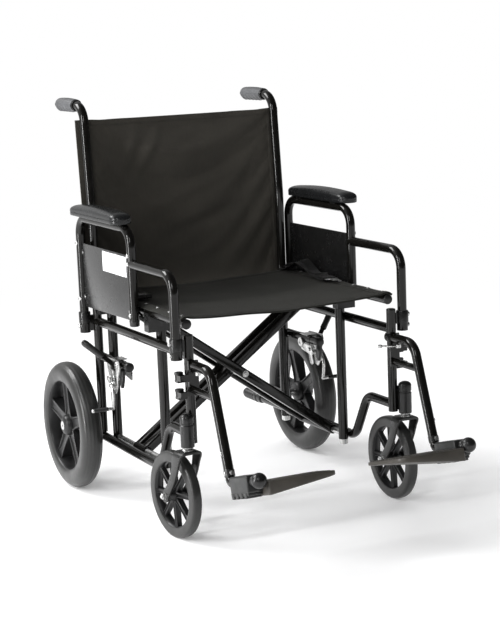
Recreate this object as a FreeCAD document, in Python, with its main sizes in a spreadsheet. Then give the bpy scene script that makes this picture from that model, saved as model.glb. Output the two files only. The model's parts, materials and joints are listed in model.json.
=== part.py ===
"""A folding transit wheelchair with lift-off arms and swing-away legrests.

The chair stands on the XY plane and faces -Y. +X is the occupant's left.
Sizes are millimetres. Every node is drawn in the axle frame, whose Y is
measured from the rear axle (forward is negative), and its Placement moves
it back by axle_back, so that the origin is under the middle of the chair.
"""
import FreeCAD
import Part
import Sketcher
import math
import os

Vector = FreeCAD.Vector

# Driving dimensions: alias, value in mm.
DIMENSIONS = {
    # side frames
    "axle_back": 362.5,
    "tube_r": 11.0,
    "tube_wall": 1.5,
    "frame_half": 260.0,
    "lower_z": 128.0,
    "upper_z": 421.0,
    "front_rail_z": 241.0,
    "rail_bend_fwd": 405.0,
    "rail_rise_fwd": 470.0,
    "rail_bend_r": 45.0,
    "tip_back": 200.0,
    "front_post_fwd": 587.0,
    "front_post_bottom_z": 224.0,
    "front_post_top_z": 466.0,
    "post_half": 237.0,
    "post_r": 12.0,
    "mid_post_fwd": 384.0,
    "brake_post_fwd": 78.0,
    "post_bottom_z": 119.0,
    "post_top_z": 445.0,
    "post_nut_r": 9.0,
    "post_nut_length": 13.0,
    # back canes and grips
    "cane_fwd": 39.0,
    "cane_lean_z": 700.0,
    "cane_top_fwd": 19.0,
    "cane_lean_r": 400.0,
    "cane_bend_r": 45.0,
    "handle_z": 952.0,
    "grip_start_back": 24.0,
    "grip_end_back": 145.0,
    "grip_r": 18.0,
    "grip_end_wall": 4.0,
    "tip_grip_length": 85.0,
    "tip_grip_r": 15.5,
    # seat rails, saddles and slings
    "seat_rail_half": 258.0,
    "seat_z": 489.5,
    "seat_rail_r": 11.5,
    "seat_front_fwd": 577.0,
    "seat_rear_fwd": 62.0,
    "saddle_length": 26.0,
    "saddle_gap": 0.6,
    "sling_half": 270.0,
    "sling_edge_z": 502.3,
    "sling_sag": 14.0,
    "sling_thickness": 3.0,
    "back_half": 271.0,
    "back_top_z": 918.0,
    "back_bottom_z": 462.0,
    "back_gap": 2.2,
    # cross brace
    "pivot_z": 132.0,
    "bar_size": 23.0,
    "outer_front_fwd": 322.0,
    "inner_front_fwd": 253.0,
    "inner_rear_fwd": 213.0,
    "outer_rear_fwd": 178.0,
    "pivot_shaft_r": 7.0,
    "pivot_sleeve_r": 11.5,
    "centre_bolt_r": 5.0,
    "centre_head_r": 10.0,
    "running_gap": 0.05,
    # rear wheels
    "wheel_half": 328.0,
    "wheel_r": 159.0,
    "wheel_bed_r": 116.0,
    "tyre_width": 54.0,
    "tyre_fillet": 19.0,
    "axle_r": 6.0,
    # casters
    "caster_half": 281.0,
    "stem_fwd": 607.0,
    "caster_fwd": 543.0,
    "caster_r": 100.0,
    "caster_bed_r": 80.0,
    "caster_width": 24.0,
    "caster_fillet": 6.0,
    "caster_axle_r": 4.0,
    "stem_r": 8.0,
    "housing_r": 15.5,
    "housing_bottom_z": 221.0,
    "housing_top_z": 290.0,
    "fork_top_z": 213.0,
    "fork_half": 29.0,
    "fork_slot_half": 23.5,
    # armrests
    "arm_half": 290.0,
    "arm_rear_fwd": 30.0,
    "arm_front_fwd": 356.0,
    "arm_top_z": 682.0,
    "arm_bend_r": 42.0,
    "arm_free_end_z": 459.0,
    "desk_z": 602.0,
    "desk_front_fwd": 588.0,
    "socket_r": 13.0,
    "front_socket_bottom_z": 415.0,
    "front_socket_top_z": 461.0,
    "rear_socket_bottom_z": 395.0,
    "rear_socket_top_z": 446.0,
    "socket_floor": 3.0,
    "pad_half": 300.0,
    "pad_width": 52.0,
    "pad_front_fwd": 345.0,
    "pad_rear_fwd": 46.0,
    "pad_bottom_z": 693.3,
    "pad_top_z": 721.0,
    "pad_fillet": 11.0,
    "guard_thickness": 3.0,
    "guard_top_z": 620.0,
    "guard_bottom_z": 462.0,
    "lock_z": 452.0,
    "lock_shank_r": 2.5,
    "lock_head_r": 5.3,
    "lock_head_length": 6.0,
    # legrests
    "leg_half": 257.0,
    "hinge_half": 283.5,
    "hinge_fwd": 581.0,
    "hinge_pin_r": 5.0,
    "hanger_rear_fwd": 600.0,
    "hanger_z": 402.0,
    "hanger_bend_fwd": 691.0,
    "hanger_bend_r": 42.0,
    "hanger_end_fwd": 769.0,
    "hanger_end_z": 185.0,
    "brace_z": 346.0,
    "inner_tube_r": 9.45,
    "inner_tube_length": 90.0,
    "footrest_drop": 13.0,
    "ball_fwd": 910.0,
    "ball_z": 210.0,
    "ball_r": 15.0,
    "plate_front_reach": 177.0,
    "plate_rear_reach": 199.0,
    "plate_corner_r": 19.0,
    "plate_thickness": 12.0,
    # brakes
    "brake_tube_z": 335.0,
    "brake_tube_r": 10.5,
    "brake_tube_fwd": 235.0,
    "brake_pivot_r": 4.0,
    "lever_fwd": 185.0,
    "lever_z": 330.0,
    "shoe_fwd": 178.0,
    "shoe_z": 300.0,
}

SIDES = {"left": 1, "right": -1}
# What turns a cylinder's own Z axis onto each axis of the chair.
AXIS_ROTATIONS = {
    "X": FreeCAD.Rotation(Vector(0, 1, 0), 90),
    "Y": FreeCAD.Rotation(Vector(1, 0, 0), -90),
    "Z": FreeCAD.Rotation(),
}

# How far each caster has swivelled, in degrees.
CASTER_TURNS = {"left": 0.0, "right": 6.0}

doc = FreeCAD.newDocument("Wheelchair")
sheet = doc.addObject("Spreadsheet::Sheet", "Sheet")
nodes = []


class Size:
    """A length: its value in mm, and the expression that gives it from the sheet."""

    def __init__(self, value, text):
        self.value = value
        self.text = text

    def __add__(self, other):
        other = as_size(other)
        return Size(self.value + other.value, f"({self.text} + {other.text})")

    def __sub__(self, other):
        other = as_size(other)
        return Size(self.value - other.value, f"({self.text} - {other.text})")

    def __mul__(self, other):
        other = as_size(other)
        return Size(self.value * other.value, f"({self.text} * {other.text})")

    def __truediv__(self, other):
        other = as_size(other)
        return Size(self.value / other.value, f"({self.text} / {other.text})")

    def __neg__(self):
        return self * -1

    def __radd__(self, other):
        return as_size(other) + self

    def __rsub__(self, other):
        return as_size(other) - self

    def __rmul__(self, other):
        return as_size(other) * self


class Sizes:
    """The sheet's cells, each a Size named by its alias."""

    def __init__(self, dimensions):
        for row, (alias, value) in enumerate(dimensions.items(), start=1):
            sheet.set(f"A{row}", alias)
            sheet.set(f"B{row}", str(value))
            sheet.setAlias(f"B{row}", alias)
            setattr(self, alias, Size(value, f"Sheet.{alias}"))


def as_size(number):
    """A plain number as a Size."""
    return number if isinstance(number, Size) else Size(float(number), str(float(number)))


def distance(dx, dy, dz=0):
    """The length of a vector, as a Size."""
    parts = [as_size(part) for part in (dx, dy, dz)]
    value = math.sqrt(sum(part.value**2 for part in parts))
    return Size(value, "sqrt(" + " + ".join(f"{part.text} ^ 2" for part in parts) + ")")


def bind(item, name, size):
    """Bind a property or a sketch constraint to the sheet."""
    item.setExpression(name, as_size(size).text)


def place(item, x=0, y=0, z=0, rotation=None):
    """Put an item at a point, with its coordinates bound to the sheet."""
    point = [as_size(part) for part in (x, y, z)]
    turn = rotation or FreeCAD.Rotation()
    item.Placement = FreeCAD.Placement(Vector(*[part.value for part in point]), turn)
    for letter, part in zip("xyz", point):
        bind(item, f"Placement.Base.{letter}", part)
    return item


def rod(radius, length, x, y, z, axis="Z"):
    """A cylinder that starts at a point and runs along one axis."""
    item = doc.addObject("Part::Cylinder", "Rod")
    bind(item, "Radius", radius)
    bind(item, "Height", length)
    return place(item, x, y, z, AXIS_ROTATIONS[axis])


def rod_between(radius, start, end):
    """A cylinder from one point to another."""
    steps = [as_size(b) - as_size(a) for a, b in zip(start, end)]
    item = doc.addObject("Part::Cylinder", "Rod")
    bind(item, "Radius", radius)
    bind(item, "Height", distance(*steps))
    direction = Vector(*[step.value for step in steps])
    return place(item, *start, FreeCAD.Rotation(Vector(0, 0, 1), direction))


def ball(radius, x, y, z):
    """A sphere about a point."""
    item = doc.addObject("Part::Sphere", "Ball")
    bind(item, "Radius", radius)
    return place(item, x, y, z)


def block(x, y, z, rotation=None):
    """A box between two coordinates on each axis."""
    item = doc.addObject("Part::Box", "Block")
    for name, (low, high) in zip(("Length", "Width", "Height"), (x, y, z)):
        bind(item, name, as_size(high) - low)
    return place(item, x[0], y[0], z[0], rotation)


def span(side, inner, outer):
    """Coordinates from inner to outer, on the left or mirrored to the right."""
    ends = (side * as_size(inner), side * as_size(outer))
    return ends if side > 0 else (ends[1], ends[0])


def cross_rod(radius, side, inner, outer, y, z):
    """A cylinder along X between two distances from the chair's middle."""
    low, high = span(side, inner, outer)
    return rod(radius, high - low, low, y, z, "X")


def cut(base, *tools):
    """The base with every tool taken out of it."""
    for tool in tools:
        item = doc.addObject("Part::Cut", "Cut")
        item.Base = base
        item.Tool = tool
        base = item
    return base


def fuse(*items):
    """One solid from several that overlap."""
    item = doc.addObject("Part::MultiFuse", "Fuse")
    item.Shapes = list(items)
    return item


def group(*items):
    """Several separate solids in one object."""
    item = doc.addObject("Part::Compound", "Group")
    item.Links = list(items)
    return item


def node(label, item, x=0, z=0, rotation=None, y=0):
    """Name an item as a sub-part, and move it from the axle frame to the chair's."""
    item.Label = label
    place(item, x, y + size.axle_back, z, rotation)
    nodes.append(item)
    return item


def swivelled(label, item, stem, degrees, x=0, y=0, z=0):
    """A node that has turned about a caster's stem, which stands at the point (x, y) of stem."""
    angle = math.radians(degrees)
    dx, dy = x - stem[0], y - stem[1]
    turned_x = stem[0] + dx * math.cos(angle) - dy * math.sin(angle)
    turned_y = stem[1] + dx * math.sin(angle) + dy * math.cos(angle)
    return node(label, item, turned_x, z, FreeCAD.Rotation(Vector(0, 0, 1), degrees), turned_y)


def new_sketch(body, plane, offset=0):
    """A sketch on one of a body's own origin planes, moved along its normal."""
    sketch = body.newObject("Sketcher::SketchObject", "Sketch")
    roles = {feature.Role: feature for feature in body.Origin.OriginFeatures}
    sketch.AttachmentSupport = (roles[f"{plane}_Plane"], [""])
    sketch.MapMode = "FlatFace"
    bind(sketch, "AttachmentOffset.Base.z", offset)
    return sketch


def pin_point(sketch, geometry, corner, point):
    """Bind a point of a sketch to its two coordinates."""
    for kind, value in zip(("DistanceX", "DistanceY"), point):
        value = as_size(value)
        index = sketch.addConstraint(
            Sketcher.Constraint(kind, -1, 1, geometry, corner, value.value)
        )
        name = f"{kind}{geometry}_{corner}"
        sketch.renameConstraint(index, name)
        bind(sketch, f"Constraints.{name}", value)


def draw_circle(sketch, x, y, radius):
    """A circle with its centre and radius bound."""
    centre = Vector(as_size(x).value, as_size(y).value, 0)
    radius = as_size(radius)
    index = sketch.addGeometry(Part.Circle(centre, Vector(0, 0, 1), radius.value))
    pin_point(sketch, index, 3, (x, y))
    rule = sketch.addConstraint(Sketcher.Constraint("Radius", index, radius.value))
    sketch.renameConstraint(rule, f"Radius{index}")
    bind(sketch, f"Constraints.Radius{index}", radius)


def draw_outline(sketch, points):
    """A closed polygon with every corner bound."""
    corners = [Vector(as_size(x).value, as_size(y).value, 0) for x, y in points]
    count = len(corners)
    for index in range(count):
        sketch.addGeometry(Part.LineSegment(corners[index], corners[(index + 1) % count]))
    for index in range(count):
        sketch.addConstraint(Sketcher.Constraint("Coincident", index, 2, (index + 1) % count, 1))
        pin_point(sketch, index, 1, points[index])


def draw_route(sketch, route, radii):
    """Straight runs through the route's points, with a tangent arc at each inner point."""
    points = [Vector(as_size(x).value, as_size(y).value, 0) for x, y in route]
    radii = [as_size(radius) for radius in radii]
    ways = [(b - a).normalize() for a, b in zip(points, points[1:])]
    cut_back = [0.0]
    for before, after, radius in zip(ways, ways[1:], radii):
        cut_back.append(radius.value * math.tan(before.getAngle(after) / 2))
    cut_back.append(0.0)
    for index, way in enumerate(ways):
        start = points[index] + way * cut_back[index]
        end = points[index + 1] - way * cut_back[index + 1]
        sketch.addGeometry(Part.LineSegment(start, end))
    for index, radius in enumerate(radii):
        before, after = ways[index], ways[index + 1]
        left_turn = before.cross(after).z > 0
        inward = Vector(-before.y, before.x, 0) * (1 if left_turn else -1)
        start = points[index + 1] - before * cut_back[index + 1]
        end = points[index + 1] + after * cut_back[index + 1]
        centre = start + inward * radius.value
        circle = Part.Circle(centre, Vector(0, 0, 1), radius.value)
        first, last = (start, end) if left_turn else (end, start)
        angles = [math.atan2(p.y - centre.y, p.x - centre.x) for p in (first, last)]
        arc = sketch.addGeometry(Part.ArcOfCircle(circle, *angles))
        ends = (1, 2) if left_turn else (2, 1)
        sketch.addConstraint(Sketcher.Constraint("Tangent", index, 2, arc, ends[0]))
        sketch.addConstraint(Sketcher.Constraint("Tangent", arc, ends[1], index + 1, 1))
        rule = sketch.addConstraint(Sketcher.Constraint("Radius", arc, radius.value))
        sketch.renameConstraint(rule, f"Bend{index}")
        bind(sketch, f"Constraints.Bend{index}", radius)
        corner = sketch.addGeometry(Part.Point(points[index + 1]), True)
        sketch.addConstraint(Sketcher.Constraint("PointOnObject", corner, 1, index))
        sketch.addConstraint(Sketcher.Constraint("PointOnObject", corner, 1, index + 1))
        pin_point(sketch, corner, 1, route[index + 1])
    pin_point(sketch, 0, 1, route[0])
    pin_point(sketch, len(ways) - 1, 2, route[-1])


def new_body():
    """An empty body."""
    return doc.addObject("PartDesign::Body", "Body")


def pad(body, sketch, length):
    """A pad, half its length to each side of its sketch."""
    feature = body.newObject("PartDesign::Pad", "Pad")
    feature.Profile = sketch
    feature.SideType = "Symmetric"
    bind(feature, "Length", length)
    return feature


def bent_tube(route, radii, outer=None, inner=None):
    """A tube in the YZ plane whose first run is upright or level.

    Its wall is the usual one unless an inner radius of its own is given.
    """
    outer = outer or size.tube_r
    inner = inner or outer - size.tube_wall
    body = new_body()
    spine = new_sketch(body, "YZ")
    draw_route(spine, route, radii)
    (y, z), (next_y, _) = [[as_size(part) for part in point] for point in route[:2]]
    level = abs(next_y.value - y.value) > 1
    profile = new_sketch(body, "XZ", -y) if level else new_sketch(body, "XY", z)
    for radius in (outer, inner):
        draw_circle(profile, 0, z if level else y, radius)
    pipe = body.newObject("PartDesign::AdditivePipe", "Pipe")
    pipe.Profile = profile
    pipe.Spine = (spine, [])
    return body


def plate(outline, thickness, plane="YZ", corner_r=None, is_corner=None):
    """A flat plate, half its thickness to each side of a plane, with some corners rounded."""
    body = new_body()
    sketch = new_sketch(body, plane)
    draw_outline(sketch, outline)
    feature = pad(body, sketch, thickness)
    if corner_r:
        round_edges(body, feature, corner_r, is_corner)
    return body


def ring(outer, inner, width):
    """A flat ring about X, in a body of its own."""
    body = new_body()
    sketch = new_sketch(body, "YZ")
    for radius in (outer, inner):
        draw_circle(sketch, 0, 0, radius)
    return body, pad(body, sketch, width)


def round_edges(body, feature, radius, wanted):
    """Fillet the edges of a feature that a test picks out."""
    doc.recompute()
    edges = [f"Edge{n}" for n, e in enumerate(feature.Shape.Edges, start=1) if wanted(e)]
    fillet = body.newObject("PartDesign::Fillet", "Fillet")
    fillet.Base = (feature, edges)
    bind(fillet, "Radius", radius)
    return fillet


def tyre(outer, inner, width, fillet):
    """A solid tyre about X with a rounded tread."""
    body, feature = ring(outer, inner, width)

    def on_tread(edge):
        round_edge = hasattr(edge.Curve, "Radius")
        return round_edge and abs(edge.Curve.Radius - outer.value) < 0.1

    round_edges(body, feature, fillet, on_tread)
    return body


def spoked_rim(outer, well, width, hub, hub_width, bore, spokes, spoke_ends, spoke_width):
    """A moulded rim about X: a ring, a hub and evenly spaced tapered spokes."""
    body, _ = ring(outer, well, width)
    sketch = new_sketch(body, "YZ")
    draw_circle(sketch, 0, 0, hub)
    pad(body, sketch, hub_width)
    sketch = new_sketch(body, "YZ")
    reach = well + 3
    start = as_size(hub) - 6
    inner_half, outer_half = [as_size(width) / 2 for width in spoke_ends]
    outline = [(-inner_half, start), (inner_half, start), (outer_half, reach), (-outer_half, reach)]
    draw_outline(sketch, outline)
    spoke = pad(body, sketch, spoke_width)
    pattern = body.newObject("PartDesign::PolarPattern", "Spokes")
    pattern.Originals = [spoke]
    axes = {feature.Role: feature for feature in body.Origin.OriginFeatures}
    pattern.Axis = (axes["X_Axis"], [""])
    pattern.Angle = 360
    pattern.Occurrences = spokes
    body.Tip = pattern
    doc.recompute()
    sketch = new_sketch(body, "YZ")
    draw_circle(sketch, 0, 0, bore)
    hole = body.newObject("PartDesign::Pocket", "Bore")
    hole.Profile = sketch
    hole.SideType = "Symmetric"
    bind(hole, "Length", hub_width + 10)
    return body


size = Sizes(DIMENSIONS)
doc.recompute()


# ---------------------------------------------------------------- side frames

def cane_and_grips(name, side):
    """The back cane with its push grip, and the lower rail with its rubber tip."""
    x = side * size.frame_half
    cane_foot_z = size.lower_z + size.tube_r + 0.2
    cane_route = [
        (-size.cane_fwd, cane_foot_z),
        (-size.cane_fwd, size.cane_lean_z),
        (-size.cane_top_fwd, size.handle_z),
        (size.grip_end_back - size.grip_end_wall, size.handle_z),
    ]
    node(f"{name}_back_cane", bent_tube(cane_route, [size.cane_lean_r, size.cane_bend_r]), x)
    grip_length = size.grip_end_back - size.grip_start_back
    grip = cut(
        rod(size.grip_r, grip_length, x, size.grip_start_back, size.handle_z, "Y"),
        rod(size.tube_r + 0.1, grip_length - size.grip_end_wall + 0.1, x,
            size.grip_start_back, size.handle_z, "Y"),
    )
    node(f"{name}_push_grip", grip)

    lower_route = [
        (size.tip_back - size.grip_end_wall, size.lower_z),
        (-size.rail_bend_fwd, size.lower_z),
        (-size.rail_rise_fwd, size.front_rail_z),
        (-size.front_post_fwd + 4, size.front_rail_z),
    ]
    rail = place(bent_tube(lower_route, [size.rail_bend_r, size.rail_bend_r]), x)
    post = rod(size.tube_r + 0.05, 100, x, -size.front_post_fwd, size.front_rail_z - 50)
    node(f"{name}_lower_rail", cut(rail, post))
    tip_start = size.tip_back - size.tip_grip_length
    tip = cut(
        rod(size.tip_grip_r, size.tip_grip_length, x, tip_start, size.lower_z, "Y"),
        rod(size.tube_r + 0.1, size.tip_grip_length - size.grip_end_wall + 0.1, x,
            tip_start, size.lower_z, "Y"),
    )
    node(f"{name}_tipping_grip", tip)


def arm_socket(x, y, bottom_z, top_z):
    """A blind round socket for an armrest's leg."""
    outside = rod(size.socket_r, top_z - bottom_z, x, y, bottom_z)
    bore_z = bottom_z + size.socket_floor
    bore = rod(size.tube_r + size.running_gap, top_z - bore_z + 1, x, y, bore_z)
    return cut(outside, bore)


def straight_tube(radius, length, x, y, z, axis="Z"):
    """A straight tube with the usual wall."""
    tube = rod(radius, length, x, y, z, axis)
    return cut(tube, rod(radius - size.tube_wall, length, x, y, z, axis))


def side_tubes(name, side):
    """The straight members of a side frame, and the armrest sockets on them."""
    x = side * size.frame_half
    post_x = side * size.post_half
    arm_x = side * size.arm_half
    front_y = -size.front_post_fwd
    cane_clear = rod(size.tube_r + 0.05, 600, x, -size.cane_fwd, 130)
    front_clear = rod(size.tube_r + 0.05, 400, x, front_y, 200)
    front_post_height = size.front_post_top_z - size.front_post_bottom_z
    front_post = straight_tube(size.tube_r, front_post_height, x, front_y,
                               size.front_post_bottom_z)
    rail_length = size.front_post_fwd - size.cane_fwd
    upper_rail = cut(
        straight_tube(size.tube_r, rail_length, x, front_y, size.upper_z, "Y"),
        front_clear, cane_clear,
    )
    post_height = size.post_top_z - size.post_bottom_z
    posts = [
        straight_tube(size.post_r - 0.1, post_height, post_x, -forward, size.post_bottom_z)
        for forward in (size.mid_post_fwd, size.brake_post_fwd)
    ]
    brake_length = size.brake_tube_fwd - size.cane_fwd
    brake_tube = cut(
        straight_tube(size.brake_tube_r, brake_length, x, -size.brake_tube_fwd,
                      size.brake_tube_z, "Y"),
        cane_clear, rod(size.post_r, 80, post_x, -size.brake_post_fwd, size.brake_tube_z - 40),
    )
    axle_plate = cut(
        block((x - 5, x + 5), (-size.cane_fwd, 20), (size.lower_z, size.wheel_r + 18)),
        rod(size.tube_r + 0.1, 100, x, -70, size.lower_z, "Y"), cane_clear,
        rod(size.axle_r + 0.1, 40, x - 20, 0, size.wheel_r, "X"),
    )
    front_socket = arm_socket(arm_x, -size.desk_front_fwd,
                              size.front_socket_bottom_z, size.front_socket_top_z)
    lock_hole = cross_rod(size.lock_shank_r + size.running_gap, side, size.arm_half,
                          size.arm_half + 20, -size.desk_front_fwd, size.lock_z)
    front_socket = cut(front_socket, lock_hole)
    rear_socket = arm_socket(arm_x, -size.arm_rear_fwd,
                             size.rear_socket_bottom_z, size.rear_socket_top_z)
    webs = [
        cut(
            block(span(side, size.frame_half + 5, size.arm_half - 5), (y - 4, y + 4), (low, high)),
            clear, rod(size.socket_r + 0.02, 120, arm_x, socket_y, low - 20),
        )
        for y, socket_y, low, high, clear in (
            (front_y, -size.desk_front_fwd, size.upper_z + size.tube_r + 0.1,
             size.front_socket_top_z - 4, front_clear),
            (-size.cane_fwd + 3, -size.arm_rear_fwd, size.rear_socket_bottom_z + 4,
             size.rear_socket_top_z - 8, cane_clear),
        )
    ]
    hinge_brackets = [
        cut(
            block(span(side, size.frame_half + 5, size.hinge_half + 6.5),
                  (-size.hinge_fwd - 9, -size.hinge_fwd + 9), (low, low + 5)),
            front_clear,
        )
        for low in (as_size(325), as_size(363))
    ]
    node(f"{name}_side_tubes", group(front_post, upper_rail, *posts, brake_tube, axle_plate,
                                     front_socket, rear_socket, *webs, *hinge_brackets))


def rail_saddles(name, side):
    """Two moulded saddles on the inner posts, in which the seat rail rests."""
    x = side * size.seat_rail_half
    saddles = []
    for forward in (size.mid_post_fwd, size.brake_post_fwd):
        half = size.saddle_length / 2
        body = block(span(side, size.post_half - 12, size.seat_rail_half + 15),
                     (-forward - half, -forward + half), (size.post_top_z + 0.3, size.seat_z))
        groove = rod(size.seat_rail_r + size.saddle_gap, size.saddle_length + 2, x,
                     -forward - half - 1, size.seat_z, "Y")
        saddles.append(cut(body, groove))
    node(f"{name}_rail_saddles", group(*saddles))


def frame_bolts(name, side):
    """The rear axle, the nuts under the inner posts, the pivot shaft and the hinge pins."""
    post_x = side * size.post_half
    axle = fuse(
        cross_rod(size.axle_r, side, size.frame_half - 11, size.wheel_half + 24, 0, size.wheel_r),
        cross_rod(size.axle_r + 4, side, size.frame_half + 5.2, size.wheel_half - 27.5, 0,
                  size.wheel_r),
        cross_rod(size.axle_r + 5, side, size.wheel_half + 23.3, size.wheel_half + 26.5, 0,
                  size.wheel_r),
    )
    nuts = [
        rod(size.post_nut_r, size.post_nut_length, post_x, -forward,
            size.post_bottom_z - size.post_nut_length)
        for forward in (size.mid_post_fwd, size.brake_post_fwd)
    ]
    shaft_start = -size.mid_post_fwd + size.post_r + 0.1
    shaft_length = size.mid_post_fwd - size.brake_post_fwd - 2 * size.post_r - 0.2
    shaft = rod(size.pivot_shaft_r, shaft_length, post_x, shaft_start, size.pivot_z, "Y")
    pins = [
        rod(size.hinge_pin_r, 16.5, side * size.hinge_half, -size.hinge_fwd, low)
        for low in (330, 368)
    ]
    node(f"{name}_frame_bolts", group(axle, *nuts, shaft, *pins))


def brake_parts(name, side):
    """A push-to-lock brake: a clamp on the frame, its lever, and the arm with the shoe bar."""
    x = side * size.frame_half
    grow = size.brake_pivot_r + size.running_gap
    clamp_body = cut(
        block(span(side, size.frame_half + 4, size.frame_half + 18),
              (-200, -150), (272, 346)),
        rod(size.brake_tube_r + 0.1, 90, x, -220, size.brake_tube_z, "Y"),
    )
    lever_pin = cross_rod(size.brake_pivot_r, side, size.frame_half + 16, size.frame_half + 26,
                          -size.lever_fwd, size.lever_z)
    shoe_pin = cross_rod(size.brake_pivot_r, side, size.frame_half + 16, size.frame_half + 34,
                         -size.shoe_fwd, size.shoe_z)
    node(f"{name}_brake_clamp", fuse(clamp_body, lever_pin, shoe_pin))

    root = (side * as_size(283), as_size(-188), as_size(337))
    tip = (side * as_size(340), as_size(-150), as_size(392))
    grip_start = tuple(a + (b - a) * 0.4 for a, b in zip(root, tip))
    eye = cross_rod(9, side, size.frame_half + 18.6, size.frame_half + 24, -size.lever_fwd,
                    size.lever_z)
    lever = fuse(eye, rod_between(4.5, root, tip), rod_between(8.5, grip_start, tip),
                 ball(8.5, *tip))
    bore = cross_rod(grow, side, size.frame_half + 12, size.frame_half + 30, -size.lever_fwd,
                     size.lever_z)
    node(f"{name}_brake_lever", cut(lever, bore))

    arm_x = side * (size.frame_half + 30)
    knee = (arm_x, as_size(-196), as_size(270))
    foot = (arm_x, as_size(-191), as_size(231))
    pivot = (arm_x, -size.shoe_fwd, size.shoe_z)
    arm_eye = cross_rod(8, side, size.frame_half + 27, size.frame_half + 33, -size.shoe_fwd,
                        size.shoe_z)
    bar = cross_rod(5, side, size.frame_half + 27, 346, foot[1], foot[2])
    arm = fuse(arm_eye, rod_between(4, pivot, knee), ball(4, *knee),
               rod_between(4, knee, foot), bar)
    arm_bore = cross_rod(grow, side, size.frame_half + 22, size.frame_half + 38,
                         -size.shoe_fwd, size.shoe_z)
    node(f"{name}_brake_shoe_arm", cut(arm, arm_bore))


# --------------------------------------------------------------- wheels

def rear_wheel(name, side):
    """A solid-tyred rear wheel with a five-spoke rim."""
    x = side * size.wheel_half
    node(f"{name}_rear_tyre",
         tyre(size.wheel_r, size.wheel_bed_r, size.tyre_width, size.tyre_fillet),
         x, size.wheel_r)
    rim = spoked_rim(size.wheel_bed_r, size.wheel_bed_r - 14, 40, 31, 46,
                     size.axle_r + size.running_gap, 5, (44, 30), 22)
    node(f"{name}_rear_rim", rim, x, size.wheel_r)


def caster(name, side):
    """A caster: its housing on the frame, the fork with its stem, the axle and the wheel."""
    x = side * size.caster_half
    stem_y = -size.stem_fwd
    top_z = size.housing_top_z
    dome = doc.addObject("Part::Cone", "Dome")
    for prop, value in (("Radius1", size.housing_r), ("Radius2", size.housing_r - 6),
                        ("Height", as_size(7))):
        bind(dome, prop, value)
    place(dome, x, stem_y, top_z)
    sleeve_height = top_z - size.housing_bottom_z
    sleeve = rod(size.housing_r, sleeve_height, x, stem_y, size.housing_bottom_z)
    web = block(span(side, size.frame_half - 3, size.caster_half - 4),
                (-size.stem_fwd + 4, -size.front_post_fwd), (size.housing_bottom_z + 6, 285))
    post = rod(size.tube_r + 0.05, 300, side * size.frame_half, -size.front_post_fwd, 180)
    bore = rod(size.stem_r + size.running_gap, sleeve_height - 1, x, stem_y,
               size.housing_bottom_z - 1)
    node(f"{name}_caster_housing", cut(fuse(sleeve, dome, web), post, bore))

    boss_r = 15
    front_y, rear_y = -size.caster_fwd - boss_r, -size.caster_fwd + boss_r
    outline = [
        (-628, size.fork_top_z - 12), (-628, size.fork_top_z), (-582, size.fork_top_z),
        (-574, 178), (-569, 153), (-555, 129), (-536, 110), (rear_y, size.caster_r),
        (front_y, size.caster_r), (-573, 114), (-593, 138), (-606, 161), (-616, 186),
    ]
    boss = rod(boss_r, 2 * size.fork_half, x - size.fork_half, -size.caster_fwd, size.caster_r, "X")
    body = fuse(place(plate(outline, 2 * size.fork_half), x), boss)
    slot_z = size.fork_top_z - 10
    slot = block((x - size.fork_slot_half, x + size.fork_slot_half), (-700, -480), (60, slot_z))
    stem = rod(size.stem_r, sleeve_height - 6, x, stem_y, size.fork_top_z - 1)
    washer = rod(13, size.housing_bottom_z - size.fork_top_z - 0.4, x, stem_y,
                 size.fork_top_z - 0.2)
    hole = rod(size.caster_axle_r + 0.02, 80, x - 40, -size.caster_fwd, size.caster_r, "X")
    swivel = (x, stem_y), CASTER_TURNS[name]
    swivelled(f"{name}_caster_fork", cut(fuse(cut(body, slot), stem, washer), hole), *swivel)

    y, z = -size.caster_fwd, size.caster_r
    half = size.fork_half
    axle = fuse(
        rod(size.caster_axle_r, 2 * half + 4, x - half - 2, y, z, "X"),
        rod(8, 4.5, x + half + 0.2, y, z, "X"),
        rod(8, 4.5, x - half - 4.7, y, z, "X"),
    )
    swivelled(f"{name}_caster_axle", axle, *swivel)
    swivelled(f"{name}_caster_tyre",
              tyre(size.caster_r, size.caster_bed_r, size.caster_width, size.caster_fillet),
              *swivel, x, y, z)
    rim = spoked_rim(size.caster_bed_r, size.caster_bed_r - 9, 24, 18, 45,
                     size.caster_axle_r + size.running_gap, 8, (11, 9), 12)
    swivelled(f"{name}_caster_rim", rim, *swivel, x, y, z)


# --------------------------------------------------------------- armrests

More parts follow.
